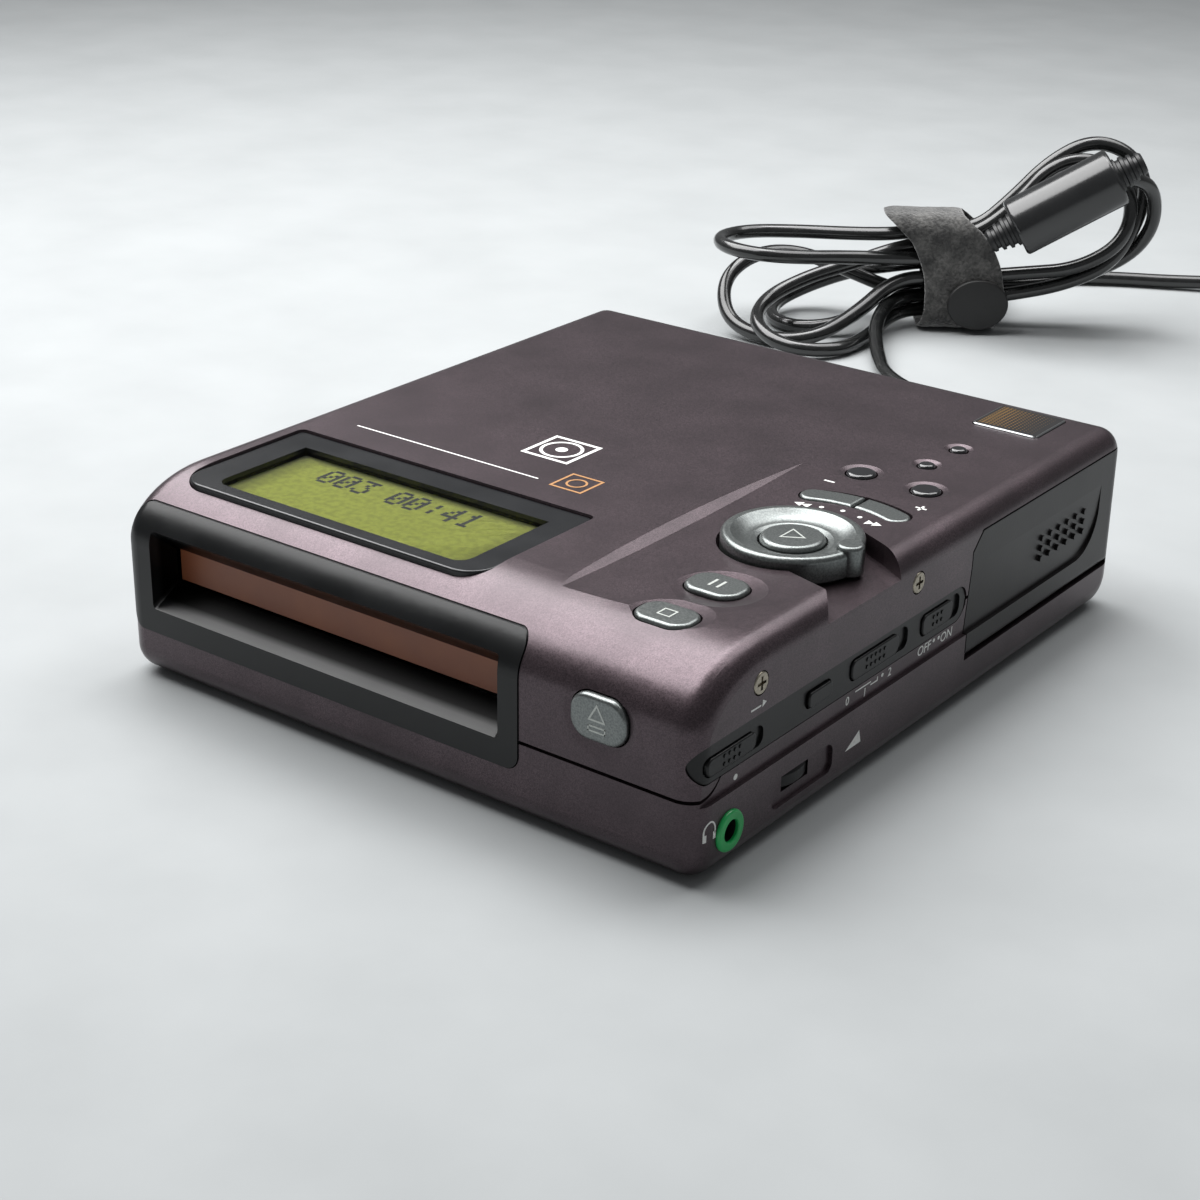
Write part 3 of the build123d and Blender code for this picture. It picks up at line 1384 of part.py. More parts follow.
with BuildPart() as spindle_motor:
    with BuildSketch(Plane.XY.offset(motor_low)):
        with Locations((hub_x, hub_y)):
            Circle(motor_radius)
    extrude(amount=plate_low - motor_low)
    chamfer(spindle_motor.edges().group_by(Axis.Z)[0], 0.8)
    with BuildSketch(Plane.XY.offset(plate_low)):
        with Locations((hub_x, hub_y)):
            Circle(3.2)
    extrude(amount=plate_thickness + 0.4)
    with BuildSketch(Plane.XY.offset(motor_low + 1)):
        with Locations((hub_x, hub_y)):
            Circle(shaft_radius + run_gap)
    extrude(amount=20, mode=Mode.SUBTRACT)
save(spindle_motor, "spindle_motor")

with BuildPart() as spindle_shaft:
    with BuildSketch(Plane.XY.offset(motor_low + 1.3)):
        with Locations((hub_x, hub_y)):
            Circle(shaft_radius)
    extrude(amount=turntable_high - motor_low - 1.3)
save(spindle_shaft, "spindle_shaft")

with BuildPart() as turntable:
    with BuildSketch(Plane(origin=(hub_x, hub_y, 0), x_dir=(1, 0, 0), z_dir=(0, -1, 0))):
        with BuildLine():
            Polyline((shaft_radius, turntable_low), (turntable_radius, turntable_low + 0.4),
                     (turntable_radius, turntable_high), (nose_radius + 0.4, turntable_high),
                     (nose_radius, turntable_high + 0.3), (nose_radius - 0.6, turntable_nose),
                     (0, turntable_nose), (0, turntable_high), (shaft_radius, turntable_high),
                     (shaft_radius, turntable_low))
        make_face()
    revolve(axis=Axis((hub_x, hub_y, 0), (0, 0, 1)))
save(turntable, "turntable")


def tooth(reach_out, reach_in):
    """One straight-sided tooth that points along +X from the pitch line at the origin."""
    with BuildSketch() as outline:
        Polygon((-reach_in, tooth_thickness / 2 + 0.12), (reach_out, tooth_thickness / 2 - 0.15),
                (reach_out, -tooth_thickness / 2 + 0.15), (-reach_in, -tooth_thickness / 2 - 0.12),
                align=None)
    return outline.sketch


gear_tooth = tooth(addendum, dedendum + 0.2)
rack_pitch = math.pi * gear_module
with BuildPart() as pickup_sled:
    with BuildSketch(Plane.XY.offset(sled_low)):
        with Locations((lens_x, hub_y)):
            Rectangle(2 * sled_half_x, 2 * sled_half_y)
    extrude(amount=sled_high - sled_low)
    chamfer(pickup_sled.edges().filter_by(Axis.Z), 1.0)
    with BuildSketch(Plane.XY.offset(sled_high - 2.2)):
        with Locations((lens_x, hub_y)):
            Rectangle(20, 8, mode=Mode.ADD)
    extrude(amount=3, mode=Mode.SUBTRACT)
    with BuildSketch(Plane.YZ.offset(lens_x - 8)):
        with Locations(*[(y, rod_height) for _, y in rod_spots]):
            Circle(rod_radius + run_gap)
    extrude(amount=16, mode=Mode.SUBTRACT)
    # rack along the near side, with a gap between teeth opposite the gear's tooth
    rack_left = gear_centre[0] - sled_travel - 2 * rack_pitch
    rack_right = gear_centre[0] + 3 * rack_pitch
    with BuildSketch(Plane.XY.offset(gear_low)):
        with Locations(((rack_left + rack_right) / 2, rack_line + dedendum + 0.45)):
            Rectangle(rack_right - rack_left, 0.9)
        with Locations(*[(gear_centre[0] + (step + 0.5) * rack_pitch, rack_line)
                         for step in range(-10, 3)]):
            with Locations(Rotation(0, 0, -90)):
                add(gear_tooth)
    extrude(amount=gear_high - gear_low)
    with BuildSketch(Plane.XY.offset(sled_low)):
        with Locations((lens_x, rack_line + dedendum + 1.2)):
            Rectangle(2 * sled_half_x - 2, 1.6)
    extrude(amount=2.4)
save(pickup_sled, "pickup_sled")

with BuildPart() as pickup_lens:
    with BuildSketch(Plane.XY.offset(sled_high - 2.2)):
        with Locations((lens_x, hub_y)):
            Circle(lens_radius)
    extrude(amount=lens_top - 0.4 - sled_high + 2.2)
    with BuildSketch(Plane.XY.offset(lens_top - 0.4)):
        with Locations((lens_x, hub_y)):
            Circle(1.8)
    extrude(amount=0.4)
    fillet(pickup_lens.edges().group_by(Axis.Z)[-1], 0.3)
save(pickup_lens, "pickup_lens")


def toothed_wheel(centre, teeth, first_angle, bore, low, high):
    """A spur gear or pinion with straight-sided teeth round its pitch circle."""
    pitch_radius = gear_module * teeth / 2
    with BuildPart() as wheel:
        with BuildSketch(Plane.XY.offset(low)):
            with Locations(centre):
                Circle(pitch_radius - dedendum)
                with PolarLocations(pitch_radius, teeth, start_angle=first_angle):
                    add(gear_tooth)
                Circle(bore, mode=Mode.SUBTRACT)
        extrude(amount=high - low)
    return wheel


drive_gear = toothed_wheel(gear_centre, gear_teeth, 90, axle_radius + run_gap, gear_low, gear_high)
save(drive_gear, "drive_gear")
pinion_wheel = toothed_wheel(pinion_centre, pinion_teeth, 180 / pinion_teeth, can_shaft,
                             gear_low, gear_high)
with BuildPart() as motor_pinion:
    add(pinion_wheel.part)
    with BuildSketch(Plane.XY.offset(gear_low - 0.3)):
        with Locations(pinion_centre):
            Circle(can_shaft)
    extrude(amount=can_low + 3 - gear_low + 0.3)
save(motor_pinion, "motor_pinion")

with BuildPart() as sled_motor:
    with BuildSketch(Plane.XY.offset(can_low)):
        with Locations(pinion_centre):
            Circle(can_radius)
    extrude(amount=plate_low - can_low)
    chamfer(sled_motor.edges().group_by(Axis.Z)[0], 0.4)
    with BuildSketch(Plane.XY.offset(can_low - 1)):
        with Locations(pinion_centre):
            Circle(can_shaft + run_gap)
    extrude(amount=4.4, mode=Mode.SUBTRACT)
save(sled_motor, "sled_motor")

with BuildPart() as cartridge_holder:
    holder_wide = bay_right - bay_left
    holder_x = left + (bay_left + bay_right) / 2
    with BuildSketch(Plane.XZ.offset(-front - bay_near)):
        with Locations((holder_x, bay_high + sheet / 2)):
            Rectangle(holder_wide + 2 * sheet, sheet)
        for sign in (-1, 1):
            with Locations((holder_x + sign * (holder_wide + sheet) / 2,
                            (bay_low - sheet + bay_high) / 2)):
                Rectangle(sheet, bay_high - bay_low + sheet)
            with Locations((holder_x + sign * (holder_wide / 2 - lip / 2), bay_low - sheet / 2)):
                Rectangle(lip, sheet)
    extrude(amount=-(bay_far - bay_near))
    with BuildSketch(Plane.XZ.offset(-front - bay_far)):
        with Locations((holder_x, (bay_low + bay_high) / 2)):
            Rectangle(holder_wide + 2 * sheet, bay_high - bay_low + 2 * sheet)
    extrude(amount=-sheet)
    with BuildSketch(Plane.XY.offset(bay_high - 0.5)):
        with Locations((holder_x, front + 48)):
            RectangleRounded(44, 34, 5)
        with Locations((holder_x, front + 22)):
            SlotOverall(40, 6)
    extrude(amount=2, mode=Mode.SUBTRACT)
save(cartridge_holder, "cartridge_holder")

# ================================================================ fasteners and feet
with BuildPart() as case_screws:
    spots = [screw_spot(spot) for spot in case_screw_spots]
    with BuildSketch(Plane.XY.offset(foot_lift + 0.4)):
        with Locations(*spots):
            Circle(screw_head)
    extrude(amount=1.1)
    with BuildSketch(Plane.XY.offset(foot_lift + 1.5)):
        with Locations(*spots):
            Circle(screw_shank)
    extrude(amount=screw_top - foot_lift - 1.5)
    with BuildSketch(Plane.XY.offset(foot_lift + 0.4)):
        with Locations(*spots):
            Rectangle(2.2, 0.5)
            Rectangle(0.5, 2.2)
    extrude(amount=0.6, mode=Mode.SUBTRACT)
save(case_screws, "case_screws")

with BuildPart() as side_screws:
    places = [(front + along, up) for along, up in side_screw_spots]
    with BuildSketch(Plane.YZ.offset(right - 0.6)):
        with Locations(*places):
            Circle(side_screw_head)
    extrude(amount=0.75)
    fillet(side_screws.edges().group_by(Axis.X)[-1], 0.3)
    with BuildSketch(Plane.YZ.offset(right - side_screw_length)):
        with Locations(*places):
            Circle(side_screw_shank)
    extrude(amount=side_screw_length - 0.6)
    with BuildSketch(Plane.YZ.offset(right - 0.3)):
        with Locations(*places):
            Rectangle(2.2, 0.5)
            Rectangle(0.5, 2.2)
    extrude(amount=1, mode=Mode.SUBTRACT)
save(side_screws, "side_screws")

with BuildPart() as rubber_feet:
    with BuildSketch():
        with GridLocations(width - 2 * foot_inset_x, depth - 2 * foot_inset_y, 2, 2):
            Circle(foot_radius - fit_gap)
    extrude(amount=foot_height)
    chamfer(rubber_feet.edges().group_by(Axis.Z)[0], 0.2)
save(rubber_feet, "rubber_feet")

# ================================================================ power lead
def bend_radii(route):
    """The largest tangent arc that each corner of a cord's route has room for."""
    radii = []
    for before, corner, after in zip(route, route[1:], route[2:]):
        arriving = Vector(*corner) - Vector(*before)
        leaving = Vector(*after) - Vector(*corner)
        half_turn = math.radians(arriving.get_angle(leaving)) / 2
        radii.append(0.45 * min(arriving.length, leaving.length) / math.tan(half_turn))
    return radii


def cord_tube(route):
    """A plain round cord along a route of straight runs and tangent arcs."""
    with BuildPart() as tube:
        with BuildLine() as path:
            FilletPolyline(*route, radius=bend_radii(route))
        with BuildSketch(Plane(origin=path.wire() @ 0, z_dir=path.wire() % 0)):
            Circle(cord_radius)
        sweep(path=path.wire())
    run = path.wire().length
    drawn = tube.part.volume / (math.pi * cord_radius ** 2)
    print("cord run", round(run, 1), "by volume", round(drawn, 1),
          "radii", [round(radius, 1) for radius in bend_radii(route)])
    return tube


with BuildPart() as dc_plug:
    plug_face = rear + 0.25
    relief_end = lead_route[0][1]
    relief_start = relief_end - relief_length
    with BuildSketch(Plane(origin=(dc_x, 0, dc_height), x_dir=(1, 0, 0), z_dir=(0, 0, 1))):
        with BuildLine():
            Polyline((1.25, rear - 7.5), (dc_bore - run_gap, rear - 7.5),
                     (dc_bore - run_gap, plug_face), (plug_radius, plug_face),
                     (plug_radius, relief_start - 2), (cord_radius + 1.1, relief_start),
                     (cord_radius + 0.5, relief_end), (0, relief_end), (0, rear - 0.5),
                     (1.25, rear - 0.5), (1.25, rear - 7.5))
        make_face()
    revolve(axis=Axis((dc_x, 0, dc_height), (0, 1, 0)))
save(dc_plug, "dc_plug")

power_lead = cord_tube(lead_route)
save(power_lead, "power_lead")
outer_lead = cord_tube(out_route)
save(outer_lead, "outer_lead")

heading = math.radians(hank_heading)
hank_plane = Plane(origin=(*hank_middle, 0), x_dir=(math.cos(heading), math.sin(heading), 0),
                   z_dir=(math.sin(heading), -math.cos(heading), 0))
with BuildPart() as lead_hank:
    with BuildSketch(hank_plane) as side:
        Polygon(*hank_side, align=None)
        fillet(side.vertices(), 2.5)
    extrude(amount=60, both=True)
    with BuildSketch(Plane(origin=(*hank_middle, 0), x_dir=hank_plane.x_dir, z_dir=(0, 0, 1))) as plan:
        Polygon(*hank_plan, align=None)
    extrude(amount=60, mode=Mode.INTERSECT)
    with BuildSketch(Plane(origin=(*hank_middle, 0), x_dir=hank_plane.z_dir,
                           z_dir=-hank_plane.x_dir)) as end:
        Polygon(*hank_end, align=None)
    extrude(amount=80, both=True, mode=Mode.INTERSECT)
save(lead_hank, "lead_hank")

with BuildPart() as hank_strap:
    with BuildSketch(hank_plane):
        with Locations(((strap_from + strap_to) / 2, strap_middle)):
            Rectangle(strap_to - strap_from, strap_opening + 2 * strap_skin)
    extrude(amount=hank_half + 0.2 + strap_skin, both=True)
    with BuildSketch(hank_plane):
        with Locations(((strap_from + strap_to) / 2, strap_middle)):
            Rectangle(strap_to - strap_from + 1, strap_opening)
    extrude(amount=hank_half + 0.2, both=True, mode=Mode.SUBTRACT)
save(hank_strap, "hank_strap")

bead_turn = math.radians(bead_tilt)
bead_middle = hank_plane.from_local_coords((bead_along, bead_height, hank_half + bead_radius + 0.1))
bead_axis = hank_plane.x_dir * math.cos(bead_turn) + Vector(0, 0, math.sin(bead_turn))
with BuildPart() as ferrite_bead:
    with BuildSketch(Plane(origin=bead_middle, z_dir=bead_axis)):
        Circle(bead_radius)
    extrude(amount=bead_length / 2, both=True)
    fillet(ferrite_bead.edges(), 1.0)
    with BuildSketch(Plane(origin=bead_middle, z_dir=bead_axis)):
        Circle(cord_radius + 0.2)
    extrude(amount=bead_length, both=True, mode=Mode.SUBTRACT)
save(ferrite_bead, "ferrite_bead")

out_end = Vector(*out_route[-1])
out_way = (out_end - Vector(*out_route[-2])).normalized()
with BuildPart() as lead_connector:
    with BuildSketch(Plane(origin=out_end, z_dir=out_way)):
        Circle(cord_radius + 0.8)
    with BuildSketch(Plane(origin=out_end + out_way * 8, z_dir=out_way)):
        Circle(connector_radius)
    loft()
    with BuildSketch(Plane(origin=out_end + out_way * 8, z_dir=out_way)):
        Circle(connector_radius)
    extrude(amount=connector_length - 8)
    with BuildSketch(Plane(origin=out_end + out_way * (connector_length - 9), z_dir=out_way)):
        Circle(2.75)
    extrude(amount=10, mode=Mode.SUBTRACT)
save(lead_connector, "lead_connector")
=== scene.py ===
"""Portable disc player: paint, prints, display and power lead around its CAD frame."""
import math

import bpy
from mathutils import Matrix, Vector


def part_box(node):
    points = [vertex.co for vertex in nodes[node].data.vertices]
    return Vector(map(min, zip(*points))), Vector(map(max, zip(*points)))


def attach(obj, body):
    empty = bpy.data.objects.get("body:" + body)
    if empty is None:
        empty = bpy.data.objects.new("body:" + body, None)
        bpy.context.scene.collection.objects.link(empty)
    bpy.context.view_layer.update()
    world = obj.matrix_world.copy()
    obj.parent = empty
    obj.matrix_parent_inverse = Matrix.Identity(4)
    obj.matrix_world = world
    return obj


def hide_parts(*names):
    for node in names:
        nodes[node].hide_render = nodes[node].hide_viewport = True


bl_info = {
    "name": "Portable disc player",
    "version": (1, 0, 0),
    "blender": (4, 5, 0),
    "location": "3D View > Sidebar > Player",
    "description": "Finishes, printed marks, display figures and lead of a portable disc player",
    "category": "Object",
}

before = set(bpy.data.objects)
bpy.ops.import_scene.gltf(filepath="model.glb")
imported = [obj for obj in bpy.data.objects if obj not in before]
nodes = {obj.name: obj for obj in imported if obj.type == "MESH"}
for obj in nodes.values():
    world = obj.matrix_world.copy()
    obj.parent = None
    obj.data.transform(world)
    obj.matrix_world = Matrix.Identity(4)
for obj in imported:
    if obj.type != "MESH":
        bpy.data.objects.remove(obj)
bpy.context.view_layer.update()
mm = 0.001

# The case frame: the middle of the base is the origin, the slot faces -Y.
case_low, case_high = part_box("top_case")
panel_low, panel_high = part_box("lcd_panel")
badge_low, badge_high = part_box("badge_plate")
# the upper edge of the slot's mouth in the front face
mouth_top = 28.0 * mm


def linear(code):
    """An sRGB hex colour as linear light."""
    parts = [int(code[at:at + 2], 16) / 255 for at in (1, 3, 5)]
    return tuple(c / 12.92 if c <= 0.04045 else ((c + 0.055) / 1.055) ** 2.4 for c in parts) + (1.0,)


# ------------------------------------------------------------------ what a user would change
class CaseFinish(bpy.types.PropertyGroup):
    lacquer_shade: bpy.props.FloatVectorProperty(
        name="Lacquer shade", description="Ground colour of the case lacquer", subtype="COLOR", size=4,
        default=linear("#393034"))
    lacquer_flake: bpy.props.FloatVectorProperty(
        name="Lacquer flake", description="Colour of the bright flake", subtype="COLOR", size=4,
        default=linear("#6a5b61"))
    flake_size: bpy.props.FloatProperty(
        name="Flake size", description="Width of one flake as drawn", default=0.16 * mm, unit="LENGTH")
    ink_height: bpy.props.FloatProperty(
        name="Ink height", description="How far a printed mark stands up", default=0.04 * mm, unit="LENGTH")


class DisplayFinish(bpy.types.PropertyGroup):
    panel_colour: bpy.props.FloatVectorProperty(
        name="Panel colour", description="Ground of the reflective display", subtype="COLOR", size=4,
        default=linear("#dce474"))
    figures: bpy.props.StringProperty(
        name="Figures", description="Figures in the upper row, one place for each letter",
        default="  003 00:41 ")
    figure_height: bpy.props.FloatProperty(
        name="Figure height", description="How far the figures stand above the film", default=0.02 * mm,
        unit="LENGTH")


class LeadSize(bpy.types.PropertyGroup):
    diameter: bpy.props.FloatProperty(
        name="Lead diameter", description="Diameter of the power lead", default=3.5 * mm, unit="LENGTH")
    length: bpy.props.FloatProperty(
        name="Lead length", description="Length from the plug to the far connector", default=1.25,
        unit="LENGTH")


class StudioLight(bpy.types.PropertyGroup):
    key_power: bpy.props.FloatProperty(
        name="Key power", description="Power of the overhead softbox", default=7.8, unit="POWER")
    fill_power: bpy.props.FloatProperty(
        name="Fill power", description="Power of the softbox over the rear", default=2.6, unit="POWER")
    surround: bpy.props.FloatProperty(
        name="Surround", description="Strength of the even light all round", default=0.20)


# ------------------------------------------------------------------ helpers
def add_node(tree, kind, sockets=None, **settings):
    """Adds a node with its settings, and fills its sockets with values or links."""
    node = tree.nodes.new(kind)
    for key, value in settings.items():
        setattr(node, key, value)
    for key, value in (sockets or {}).items():
        if isinstance(value, bpy.types.NodeSocket):
            tree.links.new(value, node.inputs[key])
        else:
            node.inputs[key].default_value = value
    return node


def new_material(name, **sockets):
    """A material with a Principled shader whose even values are set on its own sockets."""
    material = bpy.data.materials.new(name)
    material.use_nodes = True
    tree = material.node_tree
    shader = tree.nodes["Principled BSDF"]
    for key, value in sockets.items():
        shader.inputs[key.replace("_", " ")].default_value = value
    return material, tree, shader


def two_tones(tree, factor, dark, light, low=0.0, high=1.0):
    """A ramp between two colours, driven by a pattern."""
    ramp = add_node(tree, "ShaderNodeValToRGB", {"Fac": factor})
    ramp.color_ramp.elements[0].position = low
    ramp.color_ramp.elements[0].color = dark
    ramp.color_ramp.elements[1].position = high
    ramp.color_ramp.elements[1].color = light
    return ramp.outputs["Color"]


def spread(tree, factor, low, high):
    """A pattern's 0 to 1 spread between two numbers."""
    ranged = add_node(tree, "ShaderNodeMapRange", {"Value": factor, "To Min": low, "To Max": high})
    return ranged.outputs["Result"]


def clear_selection():
    if bpy.context.object and bpy.context.object.mode != "OBJECT":
        bpy.ops.object.mode_set(mode="OBJECT")
    bpy.ops.object.select_all(action="DESELECT")


def activate(piece):
    clear_selection()
    piece.select_set(True)
    bpy.context.view_layer.objects.active = piece


def settle(piece, name):
    """Names a new piece and moves its place into its mesh."""
    activate(piece)
    if piece.type != "MESH":
        bpy.ops.object.convert(target="MESH")
        piece = bpy.context.object
    bpy.ops.object.transform_apply(location=True, rotation=True, scale=True)
    piece.name = name
    piece.data.name = name
    return piece


def join(pieces, name):
    """Several settled meshes as one piece."""
    activate(pieces[0])
    for piece in pieces:
        piece.select_set(True)
    bpy.ops.object.join()
    joined = bpy.context.object
    joined.name = name
    joined.data.name = name
    return joined


def modify(piece, kind, **settings):
    """Adds one modifier and applies it."""
    activate(piece)
    modifier = piece.modifiers.new(kind.title(), kind)
    for key, value in settings.items():
        setattr(modifier, key, value)
    bpy.ops.object.modifier_apply(modifier=modifier.name)


def coat(piece, material):
    piece.data.materials.clear()
    piece.data.materials.append(material)


def finish_nodes(names, material):
    for name in names:
        coat(nodes[name], material)


# ------------------------------------------------------------------ finishes
def case_lacquer(finish):
    """Metallic lacquer sprayed on moulded ABS: mauve bronze, smooth, with a fine flake in it."""
    material, tree, shader = new_material(
        "metallic_lacquer", Metallic=0.8, Coat_Weight=0.25, Coat_Roughness=0.25)
    place = add_node(tree, "ShaderNodeTexCoord").outputs["Object"]
    flake = add_node(tree, "ShaderNodeTexVoronoi", {"Vector": place, "Scale": 1 / finish.flake_size})
    # the spray lies a little thicker here and there, over some 12 mm
    cloud = add_node(tree, "ShaderNodeTexNoise", {"Vector": place, "Scale": 1 / (12 * mm), "Detail": 3.0})
    mixed = add_node(tree, "ShaderNodeMath", {
        0: flake.outputs["Color"], 1: cloud.outputs["Fac"]}, operation="MULTIPLY").outputs["Value"]
    colour = two_tones(tree, mixed, finish.lacquer_shade, finish.lacquer_flake, 0.0, 0.9)
    tree.links.new(colour, shader.inputs["Base Color"])
    tree.links.new(spread(tree, flake.outputs["Color"], 0.32, 0.39), shader.inputs["Roughness"])
    bump = add_node(tree, "ShaderNodeBump", {
        "Height": flake.outputs["Distance"], "Strength": 0.03, "Distance": 0.01 * mm})
    tree.links.new(bump.outputs["Normal"], shader.inputs["Normal"])
    return material


def moulded_plastic(name, dark, light, roughness, grain, depth=0.03, coat_weight=0.0, gleam=0.5):
    """Injection moulded plastic: one shade with a spark-eroded grain, dull where gleam is low."""
    material, tree, shader = new_material(
        name, Coat_Weight=coat_weight, Coat_Roughness=0.12, IOR=1.53, Specular_IOR_Level=gleam)
    place = add_node(tree, "ShaderNodeTexCoord").outputs["Object"]
    grit = add_node(tree, "ShaderNodeTexNoise", {"Vector": place, "Scale": 1 / grain, "Detail": 4.0})
    wear = add_node(tree, "ShaderNodeTexNoise", {"Vector": place, "Scale": 1 / (9 * mm), "Detail": 5.0})
    colour = two_tones(tree, wear.outputs["Fac"], linear(dark), linear(light), 0.3, 0.7)
    tree.links.new(colour, shader.inputs["Base Color"])
    tree.links.new(spread(tree, wear.outputs["Fac"], roughness - 0.05, roughness + 0.07),
                   shader.inputs["Roughness"])
    bump = add_node(tree, "ShaderNodeBump", {
        "Height": grit.outputs["Fac"], "Strength": 0.5, "Distance": depth * mm})
    tree.links.new(bump.outputs["Normal"], shader.inputs["Normal"])
    return material


def throat_plastic():
    """Satin black ABS whose throat, behind the front face, is polished; the throat is painted near black as
    shade.
    """
    material, tree, shader = new_material("throat_abs", IOR=1.53)
    place = add_node(tree, "ShaderNodeTexCoord").outputs["Object"]
    wear = add_node(tree, "ShaderNodeTexNoise", {"Vector": place, "Scale": 1 / (9 * mm), "Detail": 5.0})
    face = two_tones(tree, wear.outputs["Fac"], linear("#0b0c0d"), linear("#131415"), 0.3, 0.7)
    parts = add_node(tree, "ShaderNodeSeparateXYZ", {"Vector": place})
    # painted shade: the throat begins where the mouth leaves the front face and is painted near black a
    # millimetre further in
    depth = add_node(tree, "ShaderNodeMapRange", {
        "Value": parts.outputs["Y"], "From Min": case_low.y + 1.1 * mm, "From Max": case_low.y + 2.2 * mm})
    low = add_node(tree, "ShaderNodeMath", {0: parts.outputs["Z"], 1: mouth_top}, operation="LESS_THAN")
    inside = add_node(tree, "ShaderNodeMath", {
        0: depth.outputs["Result"], 1: low.outputs["Value"]}, operation="MULTIPLY")
    # painted shade: near black is mixed over the face colour where the throat lies
    colour = add_node(tree, "ShaderNodeMix", {
        0: inside.outputs["Value"], 6: face, 7: linear("#020202")}, data_type="RGBA")
    tree.links.new(colour.outputs[2], shader.inputs["Base Color"])
    tree.links.new(spread(tree, wear.outputs["Fac"], 0.26, 0.36), shader.inputs["Roughness"])
    gloss = add_node(tree, "ShaderNodeMapRange", {
        "Value": inside.outputs["Value"], "To Min": 0.3, "To Max": 0.06})
    tree.links.new(gloss.outputs["Result"], shader.inputs["Specular IOR Level"])
    return material


def sheet_metal(name, dark, light, roughness, grain, along=1.0):
    """Bare or plated metal: fine rolling or polishing lines, longer along X where along is over 1."""
    material, tree, shader = new_material(name, Metallic=1.0)
    place = add_node(tree, "ShaderNodeTexCoord").outputs["Object"]
    turned = add_node(tree, "ShaderNodeMapping", {"Vector": place, "Scale": (1 / along, 1.0, 1.0)})
    lines = add_node(tree, "ShaderNodeTexNoise", {
        "Vector": turned.outputs["Vector"], "Scale": 1 / grain, "Detail": 5.0})
    colour = two_tones(tree, lines.outputs["Fac"], linear(dark), linear(light), 0.3, 0.7)
    tree.links.new(colour, shader.inputs["Base Color"])
    tree.links.new(spread(tree, lines.outputs["Fac"], roughness - 0.08, roughness + 0.08),
                   shader.inputs["Roughness"])
    bump = add_node(tree, "ShaderNodeBump", {
        "Height": lines.outputs["Fac"], "Strength": 0.25, "Distance": 0.015 * mm})
    tree.links.new(bump.outputs["Normal"], shader.inputs["Normal"])
    return material


def pewter_plate():
    """Satin nickel plate over moulded keys: a dark even grey with a fine fleck."""
    material, tree, shader = new_material("pewter_plate", Metallic=0.9)
    place = add_node(tree, "ShaderNodeTexCoord").outputs["Object"]
    fleck = add_node(tree, "ShaderNodeTexNoise", {"Vector": place, "Scale": 1 / (0.3 * mm), "Detail": 4.0})
    colour = two_tones(tree, fleck.outputs["Fac"], linear("#686c6c"), linear("#828684"), 0.35, 0.65)
    tree.links.new(colour, shader.inputs["Base Color"])
    tree.links.new(spread(tree, fleck.outputs["Fac"], 0.27, 0.37), shader.inputs["Roughness"])
    bump = add_node(tree, "ShaderNodeBump", {
        "Height": fleck.outputs["Fac"], "Strength": 0.1, "Distance": 0.01 * mm})
    tree.links.new(bump.outputs["Normal"], shader.inputs["Normal"])
    return material


def ink(name, code, metallic=0.0):
    """Pad printed ink: a flat opaque film, slightly uneven where the pad lifted."""
    material, tree, shader = new_material(name, Metallic=metallic, Roughness=0.45)
    place = add_node(tree, "ShaderNodeTexCoord").outputs["Object"]
    patch = add_node(tree, "ShaderNodeTexNoise", {"Vector": place, "Scale": 1 / (0.5 * mm), "Detail": 3.0})
    full = linear(code)
    thin = tuple(c * 0.82 for c in full[:3]) + (1.0,)
    tree.links.new(two_tones(tree, patch.outputs["Fac"], thin, full, 0.25, 0.5), shader.inputs["Base Color"])
    return material


def display_film(finish):
    """Reflective twisted nematic display: a green-yellow ground, in shadow round its edges."""
    material, tree, shader = new_material("display_film", Roughness=0.5)
    middle = (panel_low + panel_high) / 2
    half = (panel_high - panel_low) / 2
    place = add_node(tree, "ShaderNodeTexCoord").outputs["Object"]
    centred = add_node(tree, "ShaderNodeMapping", {
        "Vector": place, "Location": (-middle.x / half.x, -middle.y / half.y, 0.0),
        "Scale": (1 / half.x, 1 / half.y, 0.0)}).outputs["Vector"]
    parts = add_node(tree, "ShaderNodeSeparateXYZ", {"Vector": centred})
    across = add_node(tree, "ShaderNodeMath", {0: parts.outputs["X"]}, operation="ABSOLUTE")
    along = add_node(tree, "ShaderNodeMath", {0: parts.outputs["Y"]}, operation="ABSOLUTE")
    edge = add_node(tree, "ShaderNodeMath", {
        0: across.outputs["Value"], 1: along.outputs["Value"]}, operation="MAXIMUM")
    # painted shadow: the ground darkens towards every edge, where the frame would shade it
    rim = add_node(tree, "ShaderNodeMapRange", {
        "Value": edge.outputs["Value"], "From Min": 0.8, "From Max": 1.0})
    shadow = tuple(c * 0.4 for c in finish.panel_colour[:3]) + (1.0,)
    ground = two_tones(tree, rim.outputs["Result"], finish.panel_colour, shadow)
    # the liquid between the plates mottles it over a millimetre or so
    mottle = add_node(tree, "ShaderNodeTexNoise", {"Vector": place, "Scale": 1 / (1.2 * mm), "Detail": 3.0})
    tone = two_tones(tree, mottle.outputs["Fac"], (0.8, 0.8, 0.8, 1), (1, 1, 1, 1), 0.35, 0.6)
    mixed = add_node(tree, "ShaderNodeMix", {0: 1.0, 6: ground, 7: tone},
                     data_type="RGBA", blend_type="MULTIPLY")
    tree.links.new(mixed.outputs[2], shader.inputs["Base Color"])
    return material


